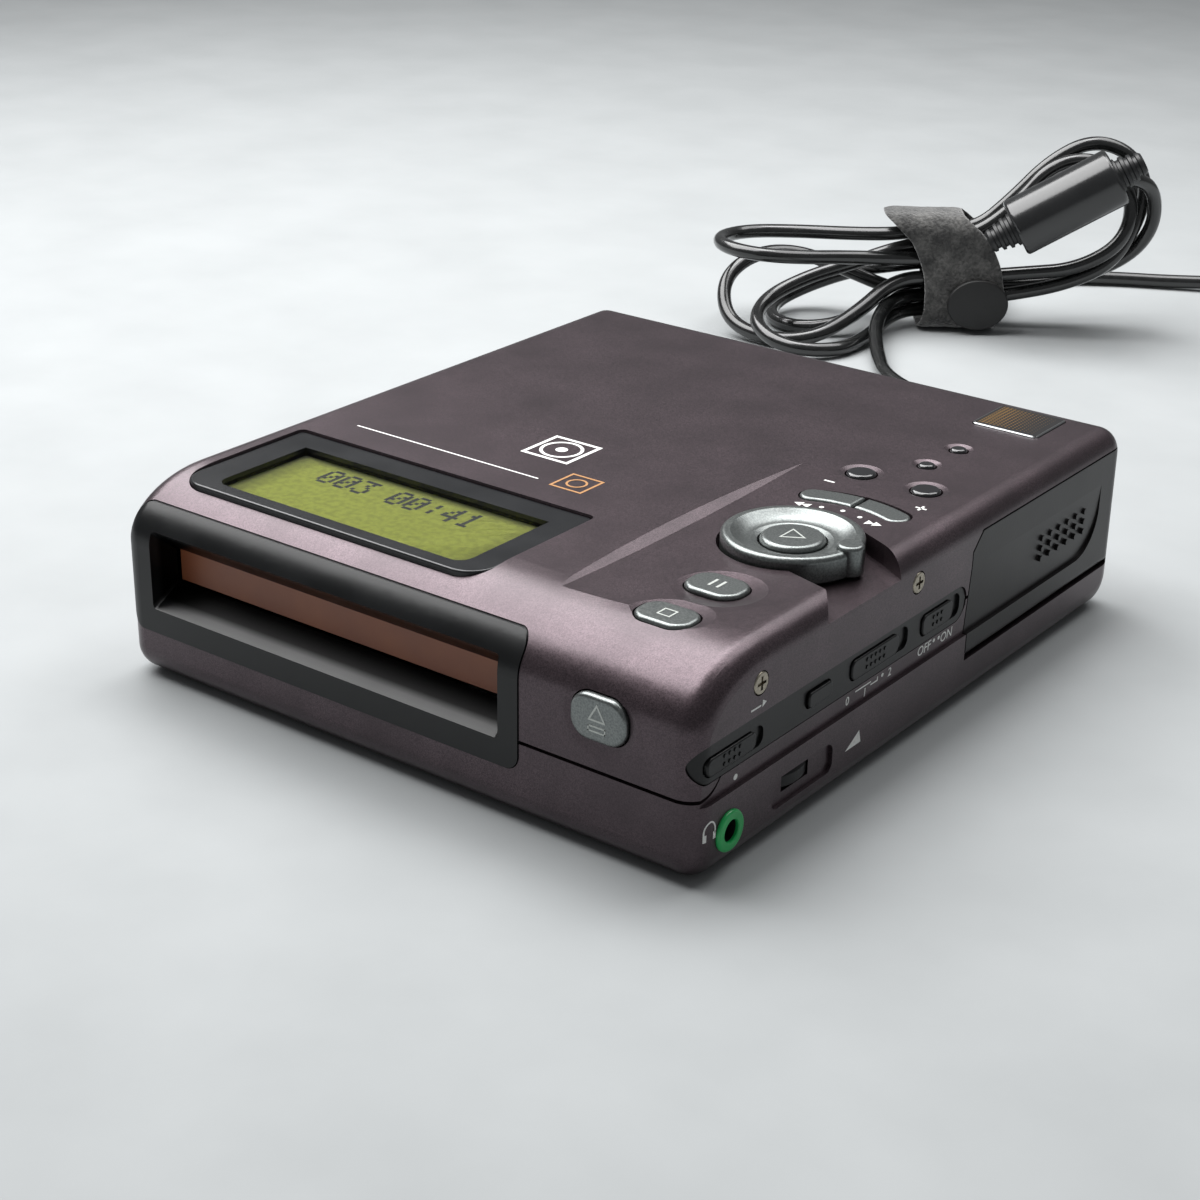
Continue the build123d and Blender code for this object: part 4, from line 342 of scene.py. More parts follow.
def clear_window():
    """Polished acrylic, thin enough to bend nothing: only its gloss shows, more so at a slant."""
    material, tree, shader = new_material("clear_window", Metallic=1.0)
    place = add_node(tree, "ShaderNodeTexCoord").outputs["Object"]
    wipes = add_node(tree, "ShaderNodeTexNoise", {"Vector": place, "Scale": 1 / (3 * mm), "Detail": 6.0})
    tree.links.new(spread(tree, wipes.outputs["Fac"], 0.02, 0.12), shader.inputs["Roughness"])
    shader.inputs["Base Color"].default_value = linear("#ffffff")
    gloss = add_node(tree, "ShaderNodeFresnel", {"IOR": 1.49})
    tree.links.new(gloss.outputs["Fac"], shader.inputs["Alpha"])
    return material


def lens_glass():
    """Coated moulded lens: deep blue, mirror bright."""
    material, tree, shader = new_material("lens_glass", Coat_Weight=1.0, Coat_Roughness=0.02, IOR=1.6)
    place = add_node(tree, "ShaderNodeTexCoord").outputs["Object"]
    depth = add_node(tree, "ShaderNodeTexNoise", {"Vector": place, "Scale": 1 / (2 * mm), "Detail": 1.0})
    colour = two_tones(tree, depth.outputs["Fac"], linear("#16233f"), linear("#2c3f70"), 0.3, 0.7)
    tree.links.new(colour, shader.inputs["Base Color"])
    shader.inputs["Roughness"].default_value = 0.06
    return material


def cord_jacket():
    """Extruded PVC jacket: glossy black, very slightly rippled by the extruder."""
    material, tree, shader = new_material("cord_jacket", Coat_Weight=0.6, Coat_Roughness=0.1, IOR=1.52)
    place = add_node(tree, "ShaderNodeTexCoord").outputs["Object"]
    ripple = add_node(tree, "ShaderNodeTexNoise", {"Vector": place, "Scale": 1 / (2.5 * mm), "Detail": 3.0})
    colour = two_tones(tree, ripple.outputs["Fac"], linear("#0d0e0e"), linear("#191a1a"), 0.3, 0.7)
    tree.links.new(colour, shader.inputs["Base Color"])
    tree.links.new(spread(tree, ripple.outputs["Fac"], 0.18, 0.32), shader.inputs["Roughness"])
    bump = add_node(tree, "ShaderNodeBump", {
        "Height": ripple.outputs["Fac"], "Strength": 0.3, "Distance": 0.05 * mm})
    tree.links.new(bump.outputs["Normal"], shader.inputs["Normal"])
    return material


def loop_felt():
    """Brushed nylon loop fabric: dark grey fuzz in tufts, drawn 0.8 mm wide so that they show."""
    material, tree, shader = new_material("loop_felt", Roughness=0.95, Sheen_Weight=0.6, Sheen_Roughness=0.5)
    place = add_node(tree, "ShaderNodeTexCoord").outputs["Object"]
    tufts = add_node(tree, "ShaderNodeTexNoise", {"Vector": place, "Scale": 1 / (0.8 * mm), "Detail": 6.0})
    blotch = add_node(tree, "ShaderNodeTexNoise", {"Vector": place, "Scale": 1 / (4 * mm), "Detail": 2.0})
    mixed = add_node(tree, "ShaderNodeMath", {
        0: tufts.outputs["Fac"], 1: blotch.outputs["Fac"]}, operation="MULTIPLY")
    colour = two_tones(tree, mixed.outputs["Value"], linear("#1c1c1c"), linear("#5b5a58"), 0.12, 0.42)
    tree.links.new(colour, shader.inputs["Base Color"])
    bump = add_node(tree, "ShaderNodeBump", {
        "Height": tufts.outputs["Fac"], "Strength": 1.0, "Distance": 0.5 * mm})
    tree.links.new(bump.outputs["Normal"], shader.inputs["Normal"])
    return material


def dotted_foil():
    """Foil-faced plate: gold dots on black that grow smaller towards the right, in a silver border."""
    material, tree, shader = new_material("dotted_foil", Coat_Weight=0.3, Coat_Roughness=0.15)
    middle = (badge_low + badge_high) / 2
    half = (badge_high - badge_low) / 2
    place = add_node(tree, "ShaderNodeTexCoord").outputs["Object"]
    dots = add_node(tree, "ShaderNodeTexVoronoi", {
        "Vector": place, "Scale": 1 / (0.75 * mm), "Randomness": 0.0}, voronoi_dimensions="2D")
    parts = add_node(tree, "ShaderNodeSeparateXYZ", {"Vector": place})
    # the dots shrink from a radius of 0.46 of their pitch at the left to 0.05 at the right
    size = add_node(tree, "ShaderNodeMapRange", {
        "Value": parts.outputs["X"], "From Min": badge_low.x, "From Max": badge_high.x,
        "To Min": 0.46, "To Max": 0.05})
    inked = add_node(tree, "ShaderNodeMath", {
        0: size.outputs["Result"], 1: dots.outputs["Distance"]}, operation="GREATER_THAN")
    centred = add_node(tree, "ShaderNodeMapping", {
        "Vector": place, "Location": (-middle.x / half.x, -middle.y / half.y, 0.0),
        "Scale": (1 / half.x, 1 / half.y, 0.0)})
    sides = add_node(tree, "ShaderNodeSeparateXYZ", {"Vector": centred.outputs["Vector"]})
    across = add_node(tree, "ShaderNodeMath", {0: sides.outputs["X"]}, operation="ABSOLUTE")
    along = add_node(tree, "ShaderNodeMath", {0: sides.outputs["Y"]}, operation="ABSOLUTE")
    edge = add_node(tree, "ShaderNodeMath", {
        0: across.outputs["Value"], 1: along.outputs["Value"]}, operation="MAXIMUM")
    inside = add_node(tree, "ShaderNodeMath", {0: edge.outputs["Value"], 1: 0.86}, operation="LESS_THAN")
    border = add_node(tree, "ShaderNodeMath", {0: edge.outputs["Value"], 1: 0.95}, operation="GREATER_THAN")
    dotted = add_node(tree, "ShaderNodeMath", {
        0: inked.outputs["Value"], 1: inside.outputs["Value"]}, operation="MULTIPLY")
    ground = two_tones(tree, dotted.outputs["Value"], linear("#151314"), linear("#c59a58"), 0.4, 0.6)
    whole = add_node(tree, "ShaderNodeMix", {
        0: border.outputs["Value"], 6: ground, 7: linear("#8d8f90")}, data_type="RGBA")
    tree.links.new(whole.outputs[2], shader.inputs["Base Color"])
    metal = add_node(tree, "ShaderNodeMath", {
        0: dotted.outputs["Value"], 1: border.outputs["Value"]}, operation="MAXIMUM")
    tree.links.new(metal.outputs["Value"], shader.inputs["Metallic"])
    shader.inputs["Roughness"].default_value = 0.32
    return material


def circuit_lacquer():
    """Glass-epoxy board under green solder resist, with faint copper tracks 0.8 mm apart."""
    material, tree, shader = new_material("circuit_lacquer", Roughness=0.35, Coat_Weight=0.3)
    place = add_node(tree, "ShaderNodeTexCoord").outputs["Object"]
    tracks = add_node(tree, "ShaderNodeTexBrick", {
        "Vector": place, "Scale": 1 / (8 * mm), "Mortar Size": 0.06,
        "Color1": linear("#1f5a3a"), "Color2": linear("#256644"), "Mortar": linear("#3d8a5c")})
    tree.links.new(tracks.outputs["Color"], shader.inputs["Base Color"])
    return material


def studio_floor():
    """Matt pale grey paper, a little uneven where its fibre lies thicker."""
    material, tree, shader = new_material("studio_paper", Roughness=0.9)
    place = add_node(tree, "ShaderNodeTexCoord").outputs["Object"]
    fibre = add_node(tree, "ShaderNodeTexNoise", {"Vector": place, "Scale": 1 / (30 * mm), "Detail": 4.0})
    colour = two_tones(tree, fibre.outputs["Fac"], linear("#9da0a1"), linear("#a3a6a7"), 0.3, 0.7)
    tree.links.new(colour, shader.inputs["Base Color"])
    return material


# ------------------------------------------------------------------ printed and engraved marks
# A face's mark is drawn flat, facing out: its turn, and the shrinkwrap axis and side that lay it down.
faces = {
    "top": ((0.0, 0.0, 0.0), "use_project_z", "use_negative_direction"),
    "side": ((math.pi / 2, 0.0, math.pi / 2), "use_project_x", "use_negative_direction"),
    "front": ((math.pi / 2, 0.0, 0.0), "use_project_y", "use_positive_direction"),
}
stand_off = 3 * mm


def spot_on(face, along, across, level):
    """A place on a face: along and across it as it is read, at a level out from the origin."""
    if face == "top":
        return Vector((along, across, level + stand_off))
    if face == "side":
        return Vector((level + stand_off, along, across))
    return Vector((along, -level - stand_off, across))


def mark_turn(face, turn):
    """The turn of a mark on a face, turned in that face by turn."""
    flat = Matrix.Rotation(turn, 4, "Z")
    tilt, _, _ = faces[face]
    stand = Matrix.Rotation(tilt[2], 4, "Z") @ Matrix.Rotation(tilt[0], 4, "X")
    return (stand @ flat).to_euler()


def bar(face, spot, wide, tall):
    """A plain bar of ink, cut so that it can follow a rounded surface."""
    longest_cut = 2.5 * mm
    clear_selection()
    bpy.ops.mesh.primitive_plane_add(size=1.0, location=spot, rotation=mark_turn(face, 0.0))
    piece = bpy.context.object
    piece.scale = (wide, tall, 1.0)
    bpy.ops.object.transform_apply(location=True, rotation=True, scale=True)
    bpy.ops.object.mode_set(mode="EDIT")
    bpy.ops.mesh.subdivide(number_cuts=max(1, int(max(wide, tall) / longest_cut)))
    bpy.ops.object.mode_set(mode="OBJECT")
    return piece


def disc(face, spot, radius, corners=28, turn=0.0, stretch=1.0):
    """A dot of ink, or with three corners a wedge."""
    clear_selection()
    bpy.ops.mesh.primitive_circle_add(vertices=corners, radius=radius, fill_type="NGON",
                                      location=spot, rotation=mark_turn(face, turn))
    piece = bpy.context.object
    piece.scale = (1.0, stretch, 1.0)
    bpy.ops.object.transform_apply(location=True, rotation=True, scale=True)
    return piece


def hollow(face, spot, radius, line, corners=28, turn=0.0, stretch=1.0):
    """The outline of a disc, square or wedge, of the given line width."""
    piece = disc(face, spot, radius, corners, turn, stretch)
    activate(piece)
    bpy.ops.object.mode_set(mode="EDIT")
    bpy.ops.mesh.select_all(action="SELECT")
    bpy.ops.mesh.inset(thickness=line)
    bpy.ops.mesh.delete(type="FACE")
    bpy.ops.object.mode_set(mode="OBJECT")
    return piece


def lettering(face, spot, words, height):
    """Plain figures or ON and OFF, in the built-in face."""
    capital_share = 0.69
    clear_selection()
    bpy.ops.object.text_add(location=spot, rotation=mark_turn(face, 0.0))
    words_object = bpy.context.object
    words_object.data.body = words
    words_object.data.size = height / capital_share
    words_object.data.align_x = "CENTER"
    words_object.data.align_y = "CENTER"
    words_object.data.resolution_u = 3
    return settle(words_object, "lettering")


def lay_down(pieces, name, face, carrier, body, material, height):
    """Lays marks on the surface that carries them, and gives them a film's thickness."""
    piece = join(pieces, name)
    _, axis, side = faces[face]
    settings = {"target": nodes[carrier], "wrap_method": "PROJECT", "offset": 0.0,
                "use_negative_direction": False, "use_positive_direction": False, axis: True}
    settings[side] = True
    modify(piece, "SHRINKWRAP", **settings)
    modify(piece, "SOLIDIFY", thickness=1.5 * height, offset=0.34)
    coat(piece, material)
    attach(piece, body)
    return piece


def lathe(name, start, direction, rings, corners=32):
    """A turned piece: rings of (distance along the axis, radius), the first and the last closed."""
    direction = Vector(direction).normalized()
    turn = direction.to_track_quat("Z", "Y").to_euler()
    clear_selection()
    bpy.ops.mesh.primitive_circle_add(
        vertices=corners, radius=rings[0][1], fill_type="NGON",
        location=Vector(start) + direction * rings[0][0], rotation=turn)
    piece = settle(bpy.context.object, name)
    activate(piece)
    bpy.ops.object.mode_set(mode="EDIT")
    bpy.ops.mesh.select_all(action="SELECT")
    for (last_at, last_radius), (at, radius) in zip(rings[:-1], rings[1:]):
        bpy.ops.mesh.extrude_region_move(
            TRANSFORM_OT_translate={"value": direction * (at - last_at)})
        share = radius / last_radius
        bpy.ops.transform.resize(value=(share, share, share),
                                 center_override=Vector(start) + direction * at)
    bpy.ops.mesh.select_all(action="SELECT")
    bpy.ops.mesh.normals_make_consistent(inside=False)
    bpy.ops.object.mode_set(mode="OBJECT")
    bpy.ops.object.shade_smooth_by_angle(angle=math.radians(35))
    return piece


# ------------------------------------------------------------------ the lead
# The hank stands behind the player, its length along hank_along, and hank_across faces the viewer.
hank_turn = math.radians(35.9)
hank_middle = Vector((-49.8, 198.1, 0.0))
hank_along = Vector((math.cos(hank_turn), math.sin(hank_turn), 0.0))
hank_across = Vector((math.sin(hank_turn), -math.cos(hank_turn), 0.0))


def in_hank(along, across, up):
    """A place in the hank, from millimetres along, across and up, in the row's frame."""
    return (hank_middle + hank_along * along + hank_across * across + Vector((0.0, 0.0, up))) * mm


lead_from_plug = ((3.0, 94.95, 8.2), (2.0, 116.0, 5.5), (-14.0, 136.0, 2.4), (-36.0, 146.0, 2.0),
                  (-47.3, 160.5, 2.0))
lead_to_connector = ((-53.0, 226.6, 4.0), (-52.0, 243.0, 2.0), (-37.0, 257.0, 2.0),
                     (-12.8, 269.0, 2.0), (22.0, 286.0, 4.6))
# The turns in the order that the cord takes them: each line is one fold, or one pass under the strap.
hank_turns = (
    ((-19.7, 17.4, 5.4), (-14.7, 3.4, 7.5), (-4.8, -1.1, 8.0), (4.7, 2.6, 8.0)),
    ((14.0, 4.2, 9.5), (28.3, 4.3, 12.5), (39.7, 2.8, 17.5), (45.2, 0.2, 26.5), (47.6, -1.4, 36.2),
     (42.8, -3.3, 44.4), (33.2, -4.9, 46.9), (23.3, -4.9, 41.2), (14.8, -4.0, 31.9), (6.6, -3.9, 24.2)),
    ((-3.1, -3.9, 24.2), (-13.0, -3.3, 22.5)),
    ((-24.0, -6.5, 21.5), (-38.1, -9.8, 21.0), (-50.6, -10.0, 20.8), (-57.9, -2.6, 21.1),
     (-57.7, 7.0, 21.5), (-50.7, 13.8, 21.4), (-40.0, 13.6, 20.6), (-26.0, 6.5, 19.0)),
    ((-12.9, 3.0, 17.9), (-3.1, 2.7, 18.1), (5.9, 2.2, 21.3)),
    ((12.0, 7.7, 26.9), (18.0, 13.3, 31.4), (25.0, 13.3, 35.5), (33.0, 13.3, 40.1),
     (41.5, 10.3, 41.5), (48.0, 5.0, 37.0), (49.7, 0.9, 26.3), (43.6, -1.2, 17.4),
     (29.1, 0.4, 12.3), (17.0, 0.4, 11.0)),
    ((7.0, 0.2, 11.2), (-3.1, -1.1, 11.9), (-13.4, -0.7, 11.0)),
    ((-19.8, 4.9, 6.8), (-27.4, 12.1, 3.5), (-37.9, 11.4, 2.0), (-44.6, 3.3, 1.8),
     (-43.4, -7.3, 2.8), (-34.5, -13.6, 5.7), (-23.0, -10.2, 11.0)),
    ((-12.6, -2.6, 14.8), (-2.9, -3.3, 16.0), (7.4, -3.3, 19.6)),
    ((18.2, -8.1, 31.0), (29.2, -8.6, 40.5), (39.9, -7.0, 39.9), (46.7, -5.1, 31.7),
     (45.1, -4.4, 20.6), (33.9, -4.6, 12.5), (20.0, -4.2, 8.1)),
    ((6.9, -3.5, 7.4), (-3.2, -4.1, 6.9), (-13.7, -3.2, 8.2)),
    ((-26.6, -4.8, 13.1), (-38.0, -6.0, 17.0), (-49.0, -3.0, 17.0), (-57.0, 4.0, 12.0),
     (-56.0, 11.9, 3.9), (-46.8, 20.5, 1.8), (-35.0, 22.0, 2.4), (-24.0, 13.3, 6.6)),
    ((-13.9, 2.5, 12.5), (-2.0, 2.8, 13.5), (7.0, 3.9, 14.0)),
    ((17.9, 4.3, 15.2), (30.8, 5.6, 16.8), (42.2, 4.6, 23.6), (43.8, 1.6, 34.9),
     (35.9, -0.8, 43.0), (23.9, -1.1, 42.1), (15.0, -0.1, 31.0), (6.9, 0.0, 24.3)),
    ((-3.1, -0.3, 21.7), (-13.1, -0.5, 19.9)),
    ((-25.0, 1.8, 16.0), (-36.0, 4.0, 13.0), (-46.6, 9.2, 8.8), (-49.8, 20.9, 5.5),
     (-42.1, 30.4, 2.7), (-28.9, 29.8, 2.1), (-20.6, 16.0, 1.9)),
    ((-13.7, 2.0, 3.8), (-3.4, -1.7, 4.2), (4.9, -1.7, 3.3), (11.6, -6.8, 3.9), (13.7, -14.5, 5.4)),
)

bead_middle = (25.0, 13.3, 35.5)
bead_half = 13.5
bead_turn = math.radians(30.0)


class PLAYER_OT_lead(bpy.types.Operator):
    """Lays the power lead: one spline from the plug, through the tied hank, to the far connector"""
    bl_idname = "player.lead"
    bl_label = "Power lead"

    def execute(self, context):
        size = context.scene.lead_size
        curve = bpy.data.curves.new("lead_cord", "CURVE")
        curve.dimensions = "3D"
        line = curve.splines.new("NURBS")
        places = [Vector(place) * mm for place in lead_from_plug]
        for turn in hank_turns:
            places += [in_hank(*place) for place in turn]
        places += [Vector(place) * mm for place in lead_to_connector]
        line.points.add(len(places) - 1)
        for point, place in zip(line.points, places):
            point.co = (*place, 1.0)
        line.order_u = 3
        line.use_endpoint_u = True
        curve.resolution_u = 10
        curve.bevel_depth = size.diameter / 2
        curve.bevel_resolution = 5
        curve.use_fill_caps = True
        lead = bpy.data.objects.new("lead_cord", curve)
        context.scene.collection.objects.link(lead)
        jacket = cord_jacket()
        curve.materials.append(jacket)
        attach(lead, "root")
        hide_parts("power_lead", "lead_hank", "outer_lead")

        rubber = moulded_plastic("soft_pvc", "#101112", "#191a1b", 0.4, 0.6 * mm, 0.02)
        direction = hank_along * math.cos(bead_turn) + Vector((0.0, 0.0, math.sin(bead_turn)))
        middle = in_hank(*bead_middle)
        # each boot is a collar, then ribs that grow narrower, then a plain end
        long, collar, ribs = 7.0, 0.6, 3
        ribbed = long - 2 * collar
        for name, side in (("bead_boot_near", -1), ("bead_boot_far", 1)):
            rings = [(-1.0, 4.2), (collar, 4.2)]
            for rib in range(ribs):
                at = collar + ribbed * rib / ribs
                wide = 4.0 - 1.5 * rib / ribs
                rings += [(at + 0.25, wide - 0.5), (at + 1.0, wide - 0.5), (at + 1.2, wide),
                          (at + ribbed / ribs, wide - 0.1)]
            rings += [(long, 2.3)]
            boot = lathe(name, middle + direction * side * bead_half * mm, direction * side,
                         [(at * mm, radius * mm) for at, radius in rings], 28)
            coat(boot, rubber)
            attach(boot, "root")
        finish_nodes(["ferrite_bead"], moulded_plastic(
            "bead_shell", "#141516", "#1c1d1e", 0.24, 1.5 * mm, 0.02, 0.5))
        finish_nodes(["dc_plug", "lead_connector"], rubber)
        return {"FINISHED"}


class PLAYER_OT_strap(bpy.types.Operator):
    """Wraps the felt strap round the hank, with its smooth tail pressed on the front"""
    bl_idname = "player.strap"
    bl_label = "Strap"

    def execute(self, context):
        low, high = 0.45, 29.7
        near, far, half = -13.0, 7.0, 7.3
        # how far the band leans at each height, in millimetres along the hank
        leans = ((0.45, 5.0), (6.0, 6.4), (14.0, 6.4), (23.0, 2.6), (29.7, -4.5))
        clear_selection()
        bpy.ops.mesh.primitive_cube_add(
            size=1.0, location=in_hank((near + far) / 2, 0.0, (low + high) / 2),
            rotation=(0.0, 0.0, hank_turn),
            scale=((far - near) * mm, 2 * half * mm, (high - low) * mm))
        band = settle(bpy.context.object, "strap_band")
        open_ends(band, hank_along)
        activate(band)
        bpy.ops.object.mode_set(mode="EDIT")
        bpy.ops.mesh.select_all(action="SELECT")
        bpy.ops.mesh.bevel(offset=4.5 * mm, segments=5, affect="EDGES")
        for height, _ in leans[1:-1]:
            bpy.ops.mesh.select_all(action="SELECT")
            bpy.ops.mesh.bisect(plane_co=(0.0, 0.0, height * mm), plane_no=(0.0, 0.0, 1.0))
        for place in (-8.0, -3.0, 2.0):
            bpy.ops.mesh.select_all(action="SELECT")
            bpy.ops.mesh.bisect(plane_co=in_hank(place, 0.0, 0.0), plane_no=hank_along)
        bpy.ops.object.mode_set(mode="OBJECT")
        for vertex in band.data.vertices:
            vertex.co += hank_along * lean_at(leans, vertex.co.z / mm) * mm
        modify(band, "SOLIDIFY", thickness=0.9 * mm, offset=-1.0)
        modify(band, "SUBSURF", levels=2, render_levels=2)
        ruffle = bpy.data.textures.new("strap_ruffle", "CLOUDS")
        ruffle.noise_scale = 3.0 * mm
        modify(band, "DISPLACE", texture=ruffle, texture_coords="LOCAL", strength=0.5 * mm, mid_level=0.5)
        coat(band, loop_felt())
        activate(band)
        bpy.ops.object.shade_smooth()

        clear_selection()
        bpy.ops.mesh.primitive_cylinder_add(
            vertices=48, radius=1.0, depth=1.0, location=in_hank(6.6, 8.0, 7.8),
            rotation=(math.pi / 2, 0.0, hank_turn), scale=(7.6 * mm, 6.4 * mm, 1.4 * mm))
        tail = settle(bpy.context.object, "strap_tail")
        modify(tail, "BEVEL", width=0.5 * mm, segments=3, limit_method="ANGLE")
        coat(tail, moulded_plastic("strap_tab", "#131313", "#1b1b1b", 0.5, 0.5 * mm, 0.04))
        activate(tail)
        bpy.ops.object.shade_smooth()
        for piece in (band, tail):
            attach(piece, "root")
        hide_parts("hank_strap")
        return {"FINISHED"}


def open_ends(piece, direction):
    """Deletes the two faces that look along a direction, so a block becomes a band."""
    activate(piece)
    bpy.ops.object.mode_set(mode="EDIT")
    bpy.ops.mesh.select_mode(type="FACE")
    bpy.ops.object.mode_set(mode="OBJECT")
    for face in piece.data.polygons:
        face.select = abs(face.normal.dot(direction)) > 0.9
    bpy.ops.object.mode_set(mode="EDIT")
    bpy.ops.mesh.delete(type="FACE")
    bpy.ops.object.mode_set(mode="OBJECT")


def lean_at(leans, height):
    """Reads a table of (height, lean) between its rows."""
    for (low, lean_low), (high, lean_high) in zip(leans[:-1], leans[1:]):
        if height <= high:
            share = max(0.0, (height - low) / (high - low))
            return lean_low + (lean_high - lean_low) * share
    return leans[-1][1]


# ------------------------------------------------------------------ finishes of the CAD pieces
class PLAYER_OT_case_finish(bpy.types.Operator):
    """Finishes everything on the outside of the player"""
    bl_idname = "player.case_finish"
    bl_label = "Case finish"

    def execute(self, context):
        finish = context.scene.case_finish
        lacquer = case_lacquer(finish)
        finish_nodes(["top_case", "bottom_case"], lacquer)
        satin = moulded_plastic("satin_abs", "#0a0a0b", "#111213", 0.3, 0.5 * mm, 0.02, 0.0, 0.3)
        finish_nodes(["side_strip", "hold_switch", "mode_button", "bass_switch", "resume_switch",
                      "volume_wheel"], satin)
        finish_nodes(["battery_door"], moulded_plastic(
            "door_abs", "#121010", "#1a1718", 0.34, 0.5 * mm, 0.02, 0.0, 0.3))
        finish_nodes(["slot_bezel"], throat_plastic())
        finish_nodes(["slot_ledge"], moulded_plastic(
            "ledge_abs", "#535556", "#606263", 0.5, 0.5 * mm, 0.02, 0.0, 0.2))
        finish_nodes(["slot_flap"], moulded_plastic("flap_abs", "#7d452b", "#8f5435", 0.42, 0.4 * mm, 0.02))
        finish_nodes(["display_frame"], moulded_plastic(
            "frame_acrylic", "#151618", "#1c1d1f", 0.22, 2 * mm, 0.01, 0.2, 0.35))
        gloss = moulded_plastic("gloss_abs", "#101012", "#17171a", 0.15, 2 * mm, 0.01, 0.6)
        finish_nodes(["round_button_left", "round_button_right", "small_button_front",
                      "small_button_rear"], gloss)
        finish_nodes(["jog_ring", "play_button", "pause_button", "stop_button", "eject_button",
                      "minus_key", "plus_key"], pewter_plate())
        finish_nodes(["jack_collar"], moulded_plastic(
            "green_nylon", "#17904a", "#25ad5c", 0.3, 0.4 * mm, 0.01))
        finish_nodes(["headphone_jack", "dc_jack"], moulded_plastic(
            "jack_nylon", "#0e0f10", "#17181a", 0.45, 0.5 * mm, 0.02))
        finish_nodes(["side_screws"], sheet_metal("brass_plate", "#8a8478", "#b3ab9b", 0.34, 0.3 * mm))
        finish_nodes(["case_screws"], sheet_metal("black_oxide", "#1b1c1d", "#2c2d2e", 0.4, 0.3 * mm))
        finish_nodes(["rubber_feet"], moulded_plastic(
            "foot_rubber", "#1c1c1d", "#29292a", 0.75, 0.4 * mm, 0.05))
        finish_nodes(["flap_pin", "door_pin"], sheet_metal(
            "ground_steel", "#8d9194", "#b4b8bb", 0.28, 0.2 * mm))
        return {"FINISHED"}


class PLAYER_OT_inside_finish(bpy.types.Operator):
    """Finishes the boards, the battery bay and the disc drive"""
    bl_idname = "player.inside_finish"
    bl_label = "Inside finish"

    def execute(self, context):
        finish_nodes(["main_board", "control_board", "display_board"], circuit_lacquer())
        finish_nodes(["battery_tray", "dampers"], moulded_plastic(
            "drive_abs", "#181919", "#232425", 0.5, 0.5 * mm, 0.03))
        finish_nodes(["battery_pack"], moulded_plastic(
            "battery_sleeve", "#2b2c30", "#3a3b40", 0.3, 1.0 * mm, 0.01, 0.3))
        finish_nodes(["battery_contacts"], sheet_metal("spring_brass", "#b08d48", "#d1b06a", 0.25, 0.2 * mm))
        finish_nodes(["chassis", "cartridge_holder"], sheet_metal(
            "zinc_sheet", "#8b8f91", "#a9adaf", 0.38, 0.25 * mm, 6.0))
        finish_nodes(["spindle_motor", "sled_motor", "pickup_sled"], sheet_metal(
            "die_cast_zinc", "#6c7072", "#8d9193", 0.45, 0.6 * mm))
        finish_nodes(["guide_rods", "spindle_shaft", "turntable"], sheet_metal(
            "polished_steel", "#a7abae", "#c9cdd0", 0.18, 0.2 * mm, 4.0))
        finish_nodes(["drive_gear", "motor_pinion"], moulded_plastic(
            "acetal", "#cfcdc4", "#e2e0d8", 0.4, 0.4 * mm, 0.01))
        finish_nodes(["pickup_lens"], lens_glass())
        return {"FINISHED"}


# ------------------------------------------------------------------ display
# Seven rows of five dots for each figure, top row first.
figure_dots = {
    "0": ("01110", "10001", "10011", "10101", "11001", "10001", "01110"),
    "1": ("00100", "01100", "00100", "00100", "00100", "00100", "01110"),
    "2": ("01110", "10001", "00001", "00010", "00100", "01000", "11111"),
    "3": ("11111", "00010", "00100", "00010", "00001", "10001", "01110"),
    "4": ("00010", "00110", "01010", "10010", "11111", "00010", "00010"),
    "5": ("11111", "10000", "11110", "00001", "00001", "10001", "01110"),
    "6": ("00110", "01000", "10000", "11110", "10001", "10001", "01110"),
    "7": ("11111", "00001", "00010", "00100", "01000", "01000", "01000"),
    "8": ("01110", "10001", "10001", "01110", "10001", "10001", "01110"),
    "9": ("01110", "10001", "10001", "01111", "00001", "00010", "01100"),
    ":": ("00000", "00100", "00100", "00000", "00100", "00100", "00000"),
}


class PLAYER_OT_display(bpy.types.Operator):
    """Fills the display: the film, the figures in its upper row and the window"""
    bl_idname = "player.display"
    bl_label = "Display"

    def execute(self, context):
        finish = context.scene.display_finish
        finish_nodes(["lcd_panel"], display_film(finish))
        finish_nodes(["display_glass"], clear_window())
        left_end, right_end = -46.4 * mm, 0.0 * mm
        top_row, bottom_row = -36.0 * mm, -41.7 * mm
        pitch = (right_end - left_end) / len(finish.figures)
        step = (top_row - bottom_row) / 7
        clear_selection()
        bpy.ops.mesh.primitive_plane_add(size=step * 0.92, location=(0.0, 0.0, 0.0))
        pattern = settle(bpy.context.object, "dot")
        dots = []
        for place, figure in enumerate(finish.figures):
            for row, line in enumerate(figure_dots.get(figure, ())):
                for column, lit in enumerate(line):
                    if lit == "1":
                        dot = pattern.copy()
                        dot.data = pattern.data.copy()
                        context.scene.collection.objects.link(dot)
                        dot.data.transform(Matrix.Translation((
                            left_end + place * pitch + (column + 0.5) * pitch / 6,
                            top_row - (row + 0.5) * step, panel_high.z + stand_off)))
                        dots.append(dot)
        bpy.data.objects.remove(pattern)
        lay_down(dots, "display_figures", "top", "lcd_panel", "root",
                 ink("cell_dye", "#161b28"), finish.figure_height)
        return {"FINISHED"}


